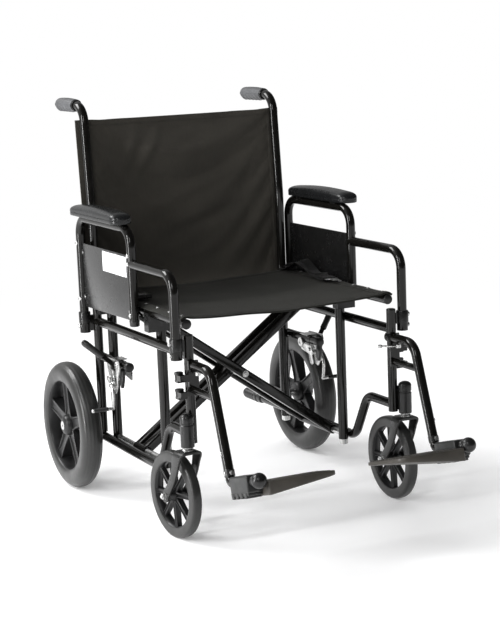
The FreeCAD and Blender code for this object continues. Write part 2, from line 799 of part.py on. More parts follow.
def armrest(name, side):
    """A lift-off desk-length armrest with its pad, skirt guard and socket lock."""
    x = side * size.arm_half
    rear_y, front_y = -size.arm_rear_fwd, -size.arm_front_fwd
    hoop_route = [
        (rear_y, size.rear_socket_bottom_z + size.socket_floor + 0.1),
        (rear_y, size.arm_top_z),
        (front_y, size.arm_top_z),
        (front_y, size.arm_free_end_z),
    ]
    hoop = place(bent_tube(hoop_route, [size.arm_bend_r, size.arm_bend_r]), x)
    desk_route = [
        (-size.desk_front_fwd, size.front_socket_bottom_z + size.socket_floor + 0.1),
        (-size.desk_front_fwd, size.desk_z),
        (front_y, size.desk_z),
    ]
    desk = place(bent_tube(desk_route, [size.arm_bend_r]), x)
    joint = rod(size.tube_r + 0.02, 100, x, front_y, size.desk_z - 50)
    node(f"{name}_arm_tube", group(hoop, cut(desk, joint)))

    body = new_body()
    sketch = new_sketch(body, "YZ")
    draw_outline(sketch, [
        (-size.pad_front_fwd, size.pad_bottom_z), (-size.pad_rear_fwd, size.pad_bottom_z),
        (-size.pad_rear_fwd, size.pad_top_z), (-size.pad_front_fwd, size.pad_top_z),
    ])
    feature = pad(body, sketch, size.pad_width)

    def on_top(edge):
        return edge.BoundBox.ZMin > size.pad_top_z.value - 0.1

    round_edges(body, feature, size.pad_fillet, on_top)
    node(f"{name}_arm_pad", body, side * size.pad_half)

    clear = size.tube_r + 0.3
    guard = plate([
        (front_y + clear, size.guard_bottom_z + 6), (rear_y - clear, size.guard_bottom_z),
        (rear_y - clear, size.guard_top_z), (front_y + clear, size.guard_top_z),
    ], size.guard_thickness)
    node(f"{name}_skirt_guard", guard, x)

    y, z = -size.desk_front_fwd, size.lock_z
    shank_start = size.arm_half + size.tube_r + 0.4
    head_start = size.arm_half + size.socket_r + 0.4
    lock = fuse(
        cross_rod(size.lock_shank_r, side, shank_start, head_start + 1, y, z),
        cross_rod(size.lock_head_r, side, head_start, head_start + size.lock_head_length, y, z),
    )
    node(f"{name}_arm_lock_button", lock)


# --------------------------------------------------------------- legrests

def legrest(name, side):
    """A swing-away legrest: hanger, release lever, footrest tube and flip-up footplate."""
    x = side * size.leg_half
    fall = size.hanger_end_fwd - size.hanger_bend_fwd
    drop = size.hanger_z - size.hanger_end_z
    hanger_route = [
        (-size.hanger_rear_fwd - 6.05, size.hanger_z),
        (-size.hanger_bend_fwd, size.hanger_z),
        (-size.hanger_end_fwd, size.hanger_end_z),
    ]
    inner = size.inner_tube_r + size.running_gap
    tube = place(bent_tube(hanger_route, [size.hanger_bend_r], inner=inner), x)
    solid_route_top = (x, -size.hanger_bend_fwd, size.hanger_z)
    solid_route_end = (x, -size.hanger_end_fwd, size.hanger_end_z)
    brace_length = fall * ((size.hanger_z - size.brace_z) / drop)
    brace_front = size.hanger_bend_fwd + brace_length
    brace = cut(
        rod(8, brace_front - size.hanger_rear_fwd - 6.05, x, -brace_front, size.brace_z, "Y"),
        rod_between(size.tube_r + 0.02, solid_route_top, solid_route_end),
    )
    strap_y = (-size.hanger_rear_fwd - 6, -size.hanger_rear_fwd)
    strap = block(span(side, size.leg_half - 11, size.hinge_half + 7.5), strap_y, (335, 413))
    window = block(span(side, size.leg_half + 13, size.hinge_half + 20),
                   (-size.hanger_rear_fwd - 20, -size.hanger_rear_fwd + 5), (343.5, 368.5))
    top_window = block(span(side, size.leg_half + 13, size.hinge_half + 20),
                       (-size.hanger_rear_fwd - 20, -size.hanger_rear_fwd + 5), (381.5, 420))
    lugs = []
    for low in (331, 369):
        web = block(span(side, size.hinge_half - 7.5, size.hinge_half + 7.5),
                    (-size.hanger_rear_fwd - 3, -size.hinge_fwd), (low, low + 12))
        lugs += [web, rod(9, 12, side * size.hinge_half, -size.hinge_fwd, low)]
    pin_bore = rod(size.hinge_pin_r + size.running_gap, 90, side * size.hinge_half,
                   -size.hinge_fwd, 320)
    bracket = cut(fuse(cut(strap, window, top_window), *lugs), pin_bore)
    node(f"{name}_hanger", group(tube, brace, bracket))

    latch_x, latch_y = size.leg_half - 1, as_size(-623.6)
    knob = (side * (latch_x - 36), latch_y + 22, as_size(386.3))
    latch = fuse(
        rod(6.2, 8, side * latch_x, latch_y, 382.4),
        rod_between(3, knob, (side * latch_x, latch_y, as_size(386.3))),
        rod(4.5, 7, knob[0], knob[1], 382.8),
    )
    node(f"{name}_hanger_latch", latch)

    lean = fall / distance(fall, drop)
    rise = drop / distance(fall, drop)
    corner = (x, -size.hanger_end_fwd - size.footrest_drop * lean,
              size.hanger_end_z - size.footrest_drop * rise)
    inner_reach = size.inner_tube_length
    inner_top = (x, -size.hanger_end_fwd + inner_reach * lean,
                 size.hanger_end_z + inner_reach * rise)
    ball_centre = (x, -size.ball_fwd, size.ball_z)
    tube = fuse(rod_between(size.inner_tube_r, corner, inner_top),
                ball(size.tube_r, *corner),
                rod_between(size.tube_r, corner, ball_centre),
                ball(size.ball_r, *ball_centre))
    node(f"{name}_footrest_tube", tube)

    def is_inner_corner(edge):
        upright = edge.BoundBox.ZLength > size.plate_thickness.value - 0.1
        return upright and abs(edge.CenterOfMass.x) > size.plate_front_reach.value / 2

    # The footplate is drawn level, from the corner of its tube, and then tilted with it.
    tilt = math.degrees(math.atan2((size.ball_z - corner[2]).value,
                                   (size.ball_fwd + corner[1]).value))
    tube_bore = rod(size.tube_r + size.running_gap, 200, 0, -180, 0, "Y")
    housing = block(span(side, -21, 18), (-118, -28), (-29, 13))
    front_y, rear_y, outer_x = -152, -22, -side * as_size(20)
    top = plate([
        (outer_x, rear_y), (outer_x, front_y),
        (-side * size.plate_front_reach, front_y), (-side * size.plate_rear_reach, rear_y),
    ], size.plate_thickness, "XY", size.plate_corner_r, is_inner_corner)
    place(top, 0, 0, -4 - size.plate_thickness / 2)
    footplate = cut(fuse(housing, top), tube_bore)
    node(f"{name}_footplate", footplate, x, corner[2], FreeCAD.Rotation(Vector(1, 0, 0), -tilt),
         y=corner[1])


# --------------------------------------------------------------- folding seat

def crossbar(label, side, forwards):
    """Two parallel bars from a pivot sleeve on one side up to the far seat rail."""
    run = size.post_half + size.seat_rail_half
    climb = size.seat_z - size.pivot_z
    length = distance(run, climb)
    angle = math.degrees(math.atan2(climb.value, run.value))
    half = size.bar_size / 2
    x = side * size.post_half
    start, end_gap = 8, 5
    ux, uz = -side * run / length, climb / length
    turn = FreeCAD.Rotation(Vector(0, 1, 0), 180 + angle if side > 0 else -angle)
    corner_x = x + ux * start + uz * half
    corner_z = size.pivot_z + uz * start - ux * half
    bars = []
    for forward in forwards:
        bar = doc.addObject("Part::Box", "Bar")
        bind(bar, "Length", length - start - end_gap)
        bind(bar, "Width", size.bar_size)
        bind(bar, "Height", size.bar_size)
        place(bar, corner_x, -forward - half, corner_z, turn)
        bars.append(bar)
    front, rear = forwards
    sleeve_start = -front - half
    sleeve = rod(size.pivot_sleeve_r, front - rear + size.bar_size, x, sleeve_start,
                 size.pivot_z, "Y")
    bore = rod(size.pivot_shaft_r + size.running_gap, 300, x, -front - 60, size.pivot_z, "Y")
    rail = rod(size.seat_rail_r + 0.02, 600, -side * size.seat_rail_half, -650, size.seat_z, "Y")
    centre_z = size.pivot_z + climb * (size.post_half / run)
    bolt_bore = rod(size.centre_bolt_r + size.running_gap, 300, 0, -400, centre_z, "Y")
    node(label, cut(fuse(sleeve, *bars), bore, rail, bolt_bore))
    return centre_z


def centre_bolts(centre_z):
    """The two bolts that pin the crossing bars together, each with a head and a spacer."""
    bolts = []
    bar_half = size.bar_size / 2
    for outer, inner in ((size.outer_front_fwd, size.inner_front_fwd),
                         (size.inner_rear_fwd, size.outer_rear_fwd)):
        start = -outer - bar_half
        length = outer - inner + size.bar_size
        bolts.append(fuse(
            rod(size.centre_bolt_r, length + 8, 0, start - 4, centre_z, "Y"),
            rod(size.centre_head_r, 5, 0, start - 5.3, centre_z, "Y"),
            rod(size.centre_head_r, 5, 0, start + length + 0.3, centre_z, "Y"),
            rod(size.centre_head_r, outer - inner - size.bar_size - 0.6, 0,
                -outer + bar_half + 0.3, centre_z, "Y"),
        ))
    node("cross_pivot_bolts", group(*bolts))


def seat_rail(name, side):
    """The seat rail on one side, a plain tube."""
    length = size.seat_front_fwd - size.seat_rear_fwd
    tube = straight_tube(size.seat_rail_r, length, side * size.seat_rail_half,
                         -size.seat_front_fwd, size.seat_z, "Y")
    node(f"{name}_seat_rail", tube)


def slings():
    """The seat and back upholstery as plain sagging and leaning sheets."""
    body = new_body()
    sketch = new_sketch(body, "XZ")
    half, sag = size.sling_half.value, size.sling_sag.value
    low, high = size.sling_edge_z, size.sling_edge_z + size.sling_thickness
    curves = []
    for edge in (low, high):
        ends = (Vector(-half, edge.value, 0), Vector(half, edge.value, 0))
        curves.append(sketch.addGeometry(
            Part.Arc(ends[0], Vector(0, edge.value - sag, 0), ends[1])))
    lines = []
    for x in (-half, half):
        lines.append(sketch.addGeometry(
            Part.LineSegment(Vector(x, low.value, 0), Vector(x, high.value, 0))))
    radius = (size.sling_half * size.sling_half + size.sling_sag * size.sling_sag) / (
        2 * size.sling_sag)
    for curve, height in zip(curves, (1, 2)):
        for corner, line in zip((1, 2), lines):
            sketch.addConstraint(Sketcher.Constraint("Coincident", curve, corner, line, height))
        rule = sketch.addConstraint(Sketcher.Constraint("Radius", curve, radius.value))
        sketch.renameConstraint(rule, f"Sag{curve}")
        bind(sketch, f"Constraints.Sag{curve}", radius)
    for line, x in zip(lines, (-size.sling_half, size.sling_half)):
        pin_point(sketch, line, 1, (x, low))
        pin_point(sketch, line, 2, (x, high))
    length = size.seat_front_fwd - size.seat_rear_fwd
    pad(body, sketch, length)
    node("seat_sling", body, y=-size.seat_rear_fwd - length / 2)

    lean = (size.cane_fwd - size.cane_top_fwd) / (size.handle_z - size.cane_lean_z)
    top_shift = lean * (size.back_top_z - size.cane_lean_z)
    front_y = -size.cane_fwd + size.tube_r + size.back_gap
    rear_y = front_y + size.sling_thickness
    node("back_sling", plate([
        (front_y, size.back_bottom_z), (rear_y, size.back_bottom_z),
        (rear_y, size.cane_lean_z), (rear_y + top_shift, size.back_top_z),
        (front_y + top_shift, size.back_top_z), (front_y, size.cane_lean_z),
    ], 2 * size.back_half))


def seat_belt(name, side, strap_front, buckle_length):
    """Half of the lap belt: a strap that lies along the seat's edge, and its buckle."""
    strap_z = size.sling_edge_z + size.sling_thickness + 0.6
    strap = block(span(side, 226, 262), (-strap_front, -70), (strap_z, strap_z + 3))
    buckle = block(span(side, 222, 266), (-strap_front - buckle_length, -strap_front),
                   (strap_z, strap_z + 11))
    node(f"{name}_belt", group(strap, buckle))


def build():
    """Draw every node of the chair."""
    for name, side in SIDES.items():
        cane_and_grips(name, side)
        side_tubes(name, side)
        rail_saddles(name, side)
        frame_bolts(name, side)
        brake_parts(name, side)
        rear_wheel(name, side)
        caster(name, side)
        armrest(name, side)
        legrest(name, side)
        seat_rail(name, side)
    crossbar("crossbar_a", SIDES["left"], (size.outer_front_fwd, size.outer_rear_fwd))
    centre_z = crossbar("crossbar_b", SIDES["right"], (size.inner_front_fwd, size.inner_rear_fwd))
    centre_bolts(centre_z)
    slings()
    seat_belt("left", SIDES["left"], 330, 34)
    seat_belt("right", SIDES["right"], 250, 60)


def export():
    """Check every object, and write each node to its own file."""
    doc.recompute()
    broken = [item.Label for item in doc.Objects
              if "Invalid" in item.State or "Error" in item.State]
    for item in nodes:
        if item.Shape.isNull() or not item.Shape.isValid():
            broken.append(item.Label)
    if broken:
        raise RuntimeError(f"objects failed: {sorted(set(broken))}")
    os.makedirs("parts", exist_ok=True)
    for item in nodes:
        item.Shape.exportStep(f"parts/{item.Label}.step")
    print(f"{len(nodes)} nodes written")


build()
export()
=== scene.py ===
"""The looks of a folding transit wheelchair: its finishes, upholstery, mouldings, fasteners,
and the pale studio that it stands in. Lengths are metres in the frame's own axes: the chair
faces -Y, +Z is up, and "left" is the occupant's left, at +X. Small sizes are given in
millimetres, times MM.
"""
import json
import math

import bmesh
import bpy
from mathutils import Matrix, Vector, noise


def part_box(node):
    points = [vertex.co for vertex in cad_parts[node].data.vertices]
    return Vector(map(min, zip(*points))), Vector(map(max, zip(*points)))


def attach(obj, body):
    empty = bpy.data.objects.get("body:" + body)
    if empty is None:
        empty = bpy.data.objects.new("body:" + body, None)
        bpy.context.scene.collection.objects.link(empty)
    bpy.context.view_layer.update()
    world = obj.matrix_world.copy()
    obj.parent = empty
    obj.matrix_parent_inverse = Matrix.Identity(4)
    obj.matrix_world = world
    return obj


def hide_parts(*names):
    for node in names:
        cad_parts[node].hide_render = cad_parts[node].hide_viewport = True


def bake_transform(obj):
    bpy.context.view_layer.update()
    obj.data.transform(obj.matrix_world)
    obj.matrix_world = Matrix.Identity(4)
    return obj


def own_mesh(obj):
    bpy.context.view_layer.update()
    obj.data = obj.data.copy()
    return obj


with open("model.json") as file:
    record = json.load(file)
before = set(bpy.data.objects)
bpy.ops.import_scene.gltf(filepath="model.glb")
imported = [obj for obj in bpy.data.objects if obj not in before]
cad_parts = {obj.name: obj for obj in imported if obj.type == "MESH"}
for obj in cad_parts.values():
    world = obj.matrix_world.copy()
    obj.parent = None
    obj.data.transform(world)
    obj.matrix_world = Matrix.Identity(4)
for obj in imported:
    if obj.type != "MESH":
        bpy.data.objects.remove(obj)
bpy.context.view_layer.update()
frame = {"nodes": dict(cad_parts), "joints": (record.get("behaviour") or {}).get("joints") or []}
nodes = frame["nodes"]
joints = {joint["name"]: joint for joint in frame["joints"]}

SIDES = {"left": 1, "right": -1}
MM = 0.001
X, Y, Z = Vector((1, 0, 0)), Vector((0, 1, 0)), Vector((0, 0, 1))
# Turns a flat outline in X and Y into one in Y and Z, with its thickness along X.
FACING_X = Matrix(((0, 0, 1, 0), (1, 0, 0, 0), (0, 1, 0, 0), (0, 0, 0, 1)))

# The frame's tubes: their radius, and how far the planes of the posts and arms are from the middle.
TUBE = 11 * MM
SIDE_X = 260 * MM
INNER_POST_X = 237 * MM
ARM_X = 290 * MM

# Where the camera stands and how it looks at the chair.
CAMERA_PLACE = Vector((-1.7542, -3.5936, 1.1485))
CAMERA_AZIMUTH = math.radians(-26.071)
CAMERA_ELEVATION = math.radians(9.937)
CAMERA_ROLL = math.radians(-2.261)
CAMERA_LENS = 96.84

# The back leans by this much above the height at which the canes bend.
LEAN_Z = 700 * MM
LEAN = 20 / 252

# The studio's brightness: the light from all round, away from the sweep and towards it, the
# surround that the camera sees, and the way from the chair to the white sweep.
AMBIENT = (0.22, 1.35)
BACKDROP = 1.0
SWEEP_DIRECTION = (-0.62, 0.78, 0.0)


# ---------------------------------------------------------------- camera and studio

def add_camera():
    """A camera at the photograph's viewing angle."""
    a, e, r = CAMERA_AZIMUTH, CAMERA_ELEVATION, CAMERA_ROLL
    back = Vector((math.sin(a) * math.cos(e), -math.cos(a) * math.cos(e), math.sin(e)))
    right = (-back).cross(Z).normalized()
    up = right.cross(-back)
    rolled_right = right * math.cos(r) + up * math.sin(r)
    rolled_up = up * math.cos(r) - right * math.sin(r)
    turn = Matrix((rolled_right, rolled_up, back)).transposed().to_4x4()
    data = bpy.data.cameras.new("camera")
    data.lens = CAMERA_LENS
    data.sensor_width = 36
    camera = bpy.data.objects.new("camera", data)
    camera.matrix_world = Matrix.Translation(CAMERA_PLACE) @ turn
    bpy.context.scene.collection.objects.link(camera)
    bpy.context.scene.camera = camera


def add_light(name, place, target, size, power, colour=(1, 1, 1)):
    """A soft rectangular light that looks at a point."""
    data = bpy.data.lights.new(name, "AREA")
    data.shape = "RECTANGLE"
    data.size, data.size_y = size
    data.energy = power
    data.color = colour
    lamp = bpy.data.objects.new(name, data)
    lamp.location = place
    lamp.rotation_euler = (Vector(target) - Vector(place)).to_track_quat("-Z", "Y").to_euler()
    bpy.context.scene.collection.objects.link(lamp)


def add_studio():
    """A pale floor that fades into a pale surround, a room for reflections, and soft lights."""
    world = bpy.data.worlds.new("world")
    bpy.context.scene.world = world
    world.use_nodes = True
    tree = world.node_tree
    room = tree.nodes["Background"]
    seen, mirrored = [tree.nodes.new("ShaderNodeBackground") for _ in range(2)]
    for surround in (room, seen, mirrored):
        surround.inputs["Color"].default_value = (1, 1, 1, 1)
    seen.inputs["Strength"].default_value = BACKDROP
    # A white sweep stands behind and to the left of the chair, and a darker room opposite it.
    way = tree.nodes.new("ShaderNodeTexCoord")
    toward_sweep = tree.nodes.new("ShaderNodeVectorMath")
    toward_sweep.operation = "DOT_PRODUCT"
    toward_sweep.inputs[1].default_value = SWEEP_DIRECTION
    tree.links.new(way.outputs["Generated"], toward_sweep.inputs[0])
    for surround, near, far, dark, bright in ((mirrored, -0.1, 0.75, 0.05, 0.62),
                                              (room, -0.9, 0.9, *AMBIENT)):
        glow = tree.nodes.new("ShaderNodeMapRange")
        glow.interpolation_type = "SMOOTHSTEP"
        for key, value in (("From Min", near), ("From Max", far), ("To Min", dark), ("To Max", bright)):
            glow.inputs[key].default_value = value
        tree.links.new(toward_sweep.outputs["Value"], glow.inputs["Value"])
        tree.links.new(glow.outputs["Result"], surround.inputs["Strength"])
    rays = tree.nodes.new("ShaderNodeLightPath")
    by_camera, by_gloss = [tree.nodes.new("ShaderNodeMixShader") for _ in range(2)]
    tree.links.new(rays.outputs["Is Glossy Ray"], by_gloss.inputs[0])
    tree.links.new(room.outputs[0], by_gloss.inputs[1])
    tree.links.new(mirrored.outputs[0], by_gloss.inputs[2])
    tree.links.new(rays.outputs["Is Camera Ray"], by_camera.inputs[0])
    tree.links.new(by_gloss.outputs[0], by_camera.inputs[1])
    tree.links.new(seen.outputs[0], by_camera.inputs[2])
    tree.links.new(by_camera.outputs[0], tree.nodes["World Output"].inputs[0])
    bpy.context.scene.view_settings.view_transform = "Standard"

    add_light("key", (-2.1, 2.3, 3.1), (0, 0, 0.2), (1.7, 1.7), 95)
    add_light("left_strip", (-2.7, -0.1, 1.1), (0, 0, 0.5), (0.26, 2.2), 62)
    add_light("front_strip", (-2.2, -2.6, 2.6), (0, 0, 0.6), (0.5, 1.6), 26)

    bpy.ops.mesh.primitive_circle_add(vertices=96, radius=40, fill_type="NGON")
    floor = bpy.context.object
    floor.name = "floor"
    finish = bpy.data.materials.new("floor")
    finish.use_nodes = True
    tree = finish.node_tree
    near = tree.nodes["Principled BSDF"]
    near.inputs["Base Color"].default_value = (0.92, 0.92, 0.925, 1)
    near.inputs["Roughness"].default_value = 0.9
    near.inputs["Specular IOR Level"].default_value = 0.0
    near.inputs["Emission Color"].default_value = (1, 1, 1, 1)
    near.inputs["Emission Strength"].default_value = 0.13
    far = tree.nodes.new("ShaderNodeEmission")
    far.inputs["Strength"].default_value = BACKDROP
    place = tree.nodes.new("ShaderNodeTexCoord")
    length = tree.nodes.new("ShaderNodeVectorMath")
    length.operation = "LENGTH"
    fade = tree.nodes.new("ShaderNodeMapRange")
    fade.interpolation_type = "SMOOTHERSTEP"
    fade.inputs["From Min"].default_value = 0.9
    fade.inputs["From Max"].default_value = 3.6
    mix = tree.nodes.new("ShaderNodeMixShader")
    tree.links.new(place.outputs["Object"], length.inputs[0])
    tree.links.new(length.outputs["Value"], fade.inputs["Value"])
    tree.links.new(fade.outputs["Result"], mix.inputs[0])
    tree.links.new(near.outputs[0], mix.inputs[1])
    tree.links.new(far.outputs[0], mix.inputs[2])
    tree.links.new(mix.outputs[0], tree.nodes["Material Output"].inputs[0])
    floor.data.materials.append(finish)


# ---------------------------------------------------------------- materials

class Finish:
    """A procedural material that is put together node by node."""

    def __init__(self, name, rough, specular=0.5, **settings):
        self.material = bpy.data.materials.new(name)
        self.material.use_nodes = True
        self.tree = self.material.node_tree
        self.shader = self.tree.nodes["Principled BSDF"]
        self.shader.inputs["Roughness"].default_value = rough
        self.shader.inputs["Specular IOR Level"].default_value = specular
        for key, value in settings.items():
            self.shader.inputs[key.replace("_", " ")].default_value = value
        self.place = self.tree.nodes.new("ShaderNodeTexCoord").outputs["Object"]

    def stretched(self, scale, turn=(0, 0, 0)):
        """The object's coordinates, scaled and turned."""
        node = self.tree.nodes.new("ShaderNodeMapping")
        node.inputs["Scale"].default_value = scale
        node.inputs["Rotation"].default_value = turn
        self.tree.links.new(self.place, node.inputs["Vector"])
        return node.outputs["Vector"]

    def mottle(self, scale, detail=3.0, stretch=(1, 1, 1), roughness=0.55):
        """Soft noise from 0 to 1."""
        node = self.tree.nodes.new("ShaderNodeTexNoise")
        node.inputs["Scale"].default_value = scale
        node.inputs["Detail"].default_value = detail
        node.inputs["Roughness"].default_value = roughness
        self.tree.links.new(self.stretched(stretch), node.inputs["Vector"])
        return node.outputs["Fac"]

    def grain(self, scale):
        """The cracked pattern of leather or textured plastic."""
        node = self.tree.nodes.new("ShaderNodeTexVoronoi")
        node.feature = "DISTANCE_TO_EDGE"
        node.inputs["Scale"].default_value = scale
        self.tree.links.new(self.place, node.inputs["Vector"])
        return node.outputs["Distance"]

    def threads(self, pitch, direction):
        """Parallel threads, as a wave of one pitch along an axis."""
        node = self.tree.nodes.new("ShaderNodeTexWave")
        node.bands_direction = direction
        node.wave_profile = "SIN"
        node.inputs["Scale"].default_value = math.tau / 20 / pitch
        node.inputs["Distortion"].default_value = 0.6
        node.inputs["Detail"].default_value = 1.0
        node.inputs["Detail Scale"].default_value = 2.0
        self.tree.links.new(self.place, node.inputs["Vector"])
        return node.outputs["Fac"]

    def maths(self, operation, a, b):
        """Two values, or a value and a number, combined."""
        node = self.tree.nodes.new("ShaderNodeMath")
        node.operation = operation
        for socket, value in zip(node.inputs, (a, b)):
            if isinstance(value, (int, float)):
                socket.default_value = value
            else:
                self.tree.links.new(value, socket)
        return node.outputs[0]

    def ramp(self, value, stops):
        """A value turned into colours, each stop a place and a colour."""
        node = self.tree.nodes.new("ShaderNodeValToRGB")
        elements = node.color_ramp.elements
        while len(elements) < len(stops):
            elements.new(0.5)
        for element, (at, colour) in zip(elements, stops):
            element.position = at
            element.color = (*colour, 1) if len(colour) == 3 else colour
        self.tree.links.new(value, node.inputs["Fac"])
        return node.outputs["Color"]

    def colour(self, value, low, high, start=0.3, end=0.7):
        """The base colour, from one to another as a value rises."""
        self.tree.links.new(self.ramp(value, [(start, low), (end, high)]),
                            self.shader.inputs["Base Color"])

    def roughness(self, value, low, high, start=0.3, end=0.7):
        """The roughness, from one to another as a value rises."""
        stops = [(start, (low,) * 3), (end, (high,) * 3)]
        self.tree.links.new(self.ramp(value, stops), self.shader.inputs["Roughness"])

    def bump(self, value, depth, strength=1.0):
        """Relief from a value; later calls lie on top of earlier ones."""
        node = self.tree.nodes.new("ShaderNodeBump")
        node.inputs["Distance"].default_value = depth
        node.inputs["Strength"].default_value = strength
        self.tree.links.new(value, node.inputs["Height"])
        socket = self.shader.inputs["Normal"]
        if socket.is_linked:
            self.tree.links.new(socket.links[0].from_socket, node.inputs["Normal"])
        self.tree.links.new(node.outputs["Normal"], socket)


def powder_coat():
    """Gloss black powder coat with a faint orange peel."""
    finish = Finish("powder_coat", 0.13, 0.38)
    finish.colour(finish.mottle(9), (0.0030, 0.0028, 0.0024), (0.0055, 0.0052, 0.0046))
    finish.roughness(finish.mottle(60, 4), 0.09, 0.17)
    finish.bump(finish.mottle(900, 2), 0.00005, 0.3)
    return finish.material


def moulded_plastic(name, low, high, rough=0.42, specular=0.45):
    """Satin moulded plastic with a fine eroded texture."""
    finish = Finish(name, rough, specular)
    finish.colour(finish.mottle(14), low, high)
    finish.roughness(finish.mottle(50, 4), rough - 0.07, rough + 0.08)
    finish.bump(finish.mottle(1500, 3), 0.00008, 0.5)
    return finish.material


def tyre_rubber():
    """Dull dark grey rubber with a dusty mottling and fine moulding texture."""
    finish = Finish("tyre_rubber", 0.5, 0.5)
    dust = finish.maths("ADD", finish.mottle(7, 5), finish.maths("MULTIPLY", finish.mottle(220), 0.3))
    finish.colour(dust, (0.012, 0.012, 0.0115), (0.030, 0.030, 0.029), 0.45, 0.95)
    finish.roughness(finish.mottle(35, 5), 0.28, 0.44)
    finish.bump(finish.mottle(700, 4), 0.0001, 0.4)
    return finish.material


def grip_rubber():
    """Blue-grey moulded grip with a matt, lightly pebbled skin."""
    finish = Finish("grip_rubber", 0.45, 0.45)
    finish.colour(finish.mottle(24, 4), (0.052, 0.053, 0.056), (0.082, 0.084, 0.090))
    finish.bump(finish.grain(900), 0.0001, 0.45)
    finish.bump(finish.mottle(160, 3), 0.00015, 0.4)
    return finish.material


def zinc_steel():
    """Bright zinc-plated steel with a faint cloudy wear."""
    finish = Finish("zinc_steel", 0.28, 0.5, Metallic=1.0)
    finish.colour(finish.mottle(120, 4), (0.50, 0.50, 0.50), (0.74, 0.74, 0.73))
    finish.roughness(finish.mottle(260, 4), 0.2, 0.42)
    finish.bump(finish.mottle(1200, 2), 0.00004, 0.4)
    return finish.material


def woven_nylon(name, axes, low, high, specular=0.25, sheen=0.22, pitch=1.1 * MM):
    """Plain woven nylon canvas, its threads along two axes of the chair."""
    finish = Finish(name, 0.78, specular, Sheen_Weight=sheen, Sheen_Roughness=0.45)
    finish.shader.inputs["Sheen Tint"].default_value = (0.95, 0.93, 0.88, 1)
    warp, weft = [finish.threads(pitch, axis) for axis in axes]
    weave = finish.maths("MULTIPLY", warp, weft)
    slub = finish.mottle(260, 3, (1, 1, 0.15))
    shade = finish.maths("ADD", finish.mottle(6, 4), finish.maths("MULTIPLY", slub, 0.35))
    shade = finish.maths("ADD", shade, finish.maths("MULTIPLY", weave, 0.25))
    finish.colour(shade, low, high, 0.45, 1.05)
    finish.bump(finish.mottle(38, 4), 0.0008, 0.35)
    finish.bump(weave, 0.00022, 0.8)
    return finish.material


def belt_webbing():
    """Black polyester webbing, ribbed across its width."""
    finish = Finish("belt_webbing", 0.62, 0.2, Sheen_Weight=0.06, Sheen_Roughness=0.4)
    finish.colour(finish.mottle(80, 4), (0.004, 0.004, 0.004), (0.011, 0.0105, 0.010))
    finish.bump(finish.threads(1.6 * MM, "Y"), 0.0003, 0.8)
    finish.bump(finish.threads(1.1 * MM, "X"), 0.00015, 0.5)
    return finish.material


def arm_vinyl():
    """Self-skinned black polyurethane with a fine leather grain."""
    finish = Finish("arm_vinyl", 0.28, 0.4)
    finish.colour(finish.mottle(10, 4), (0.0060, 0.0065, 0.0070), (0.0105, 0.0110, 0.0118))
    finish.roughness(finish.mottle(30, 4), 0.22, 0.34)
    finish.bump(finish.grain(420), 0.00035, 0.35)
    finish.bump(finish.mottle(70, 3), 0.0004, 0.25)
    return finish.material


def plain_label():
    """A blank white sticker, slightly aged."""
    finish = Finish("plain_label", 0.4, 0.4)
    finish.colour(finish.mottle(40, 4), (0.62, 0.63, 0.66), (0.78, 0.79, 0.80))
    return finish.material


def sewing_thread():
    """Black bonded sewing thread, twisted."""
    finish = Finish("sewing_thread", 0.5, 0.4)
    finish.colour(finish.mottle(500), (0.02, 0.02, 0.018), (0.05, 0.048, 0.044))
    return finish.material


# ---------------------------------------------------------------- shapes

def turned(direction, side=None):
    """A rotation whose Z axis points along a direction, and whose X axis leans to a side."""
    z = Vector(direction).normalized()
    side = Vector(side) if side else (X if abs(z.x) < 0.9 else Y)
    x = (side - z * side.dot(z)).normalized()
    return Matrix((x, z.cross(x), z)).transposed().to_4x4()


def at(place, direction=Z, side=None):
    """A placement: Z along a direction, from a place."""
    return Matrix.Translation(Vector(place)) @ turned(direction, side)


def rounded(points, radius, steps=4, closed=False):
    """A polyline whose corners are rounded off, as far as its runs allow."""
    points = [Vector(point) for point in points]
    count = len(points)
    result = []
    for index, point in enumerate(points):
        if not closed and index in (0, count - 1):
            result.append(point)
            continue
        before, after = points[index - 1], points[(index + 1) % count]
        reach = min(radius, (before - point).length * 0.48, (after - point).length * 0.48)
        start = point + (before - point).normalized() * reach
        end = point + (after - point).normalized() * reach
        for step in range(steps + 1):
            t = step / steps
            result.append(start * (1 - t) ** 2 + point * (2 * t * (1 - t)) + end * t**2)
    return result


def circle(radius, count=20):
    """Points round a circle."""
    return [(radius * math.cos(math.tau * i / count), radius * math.sin(math.tau * i / count))
            for i in range(count)]


def rectangle(width, depth, radius=0.0, steps=3):
    """Points round a rectangle with rounded corners."""
    w, d = width / 2, depth / 2
    corners = [(-w, -d), (w, -d), (w, d), (-w, d)]
    if not radius:
        return corners
    return [(p.x, p.y) for p in rounded(corners, radius, steps, closed=True)]


def smooth_path(points, steps=8):
    """A smooth curve through points, by Catmull-Rom."""
    points = [Vector(point) for point in points]
    points = [points[0] * 2 - points[1], *points, points[-1] * 2 - points[-2]]
    path = []
    for a, b, c, d in zip(points, points[1:], points[2:], points[3:]):
        for step in range(steps):
            t = step / steps
            path.append((b * 2 + (c - a) * t + (a * 2 - b * 5 + c * 4 - d) * t**2
                         + (b * 3 - a - c * 3 + d) * t**3) / 2)
    path.append(points[-2])
    return path


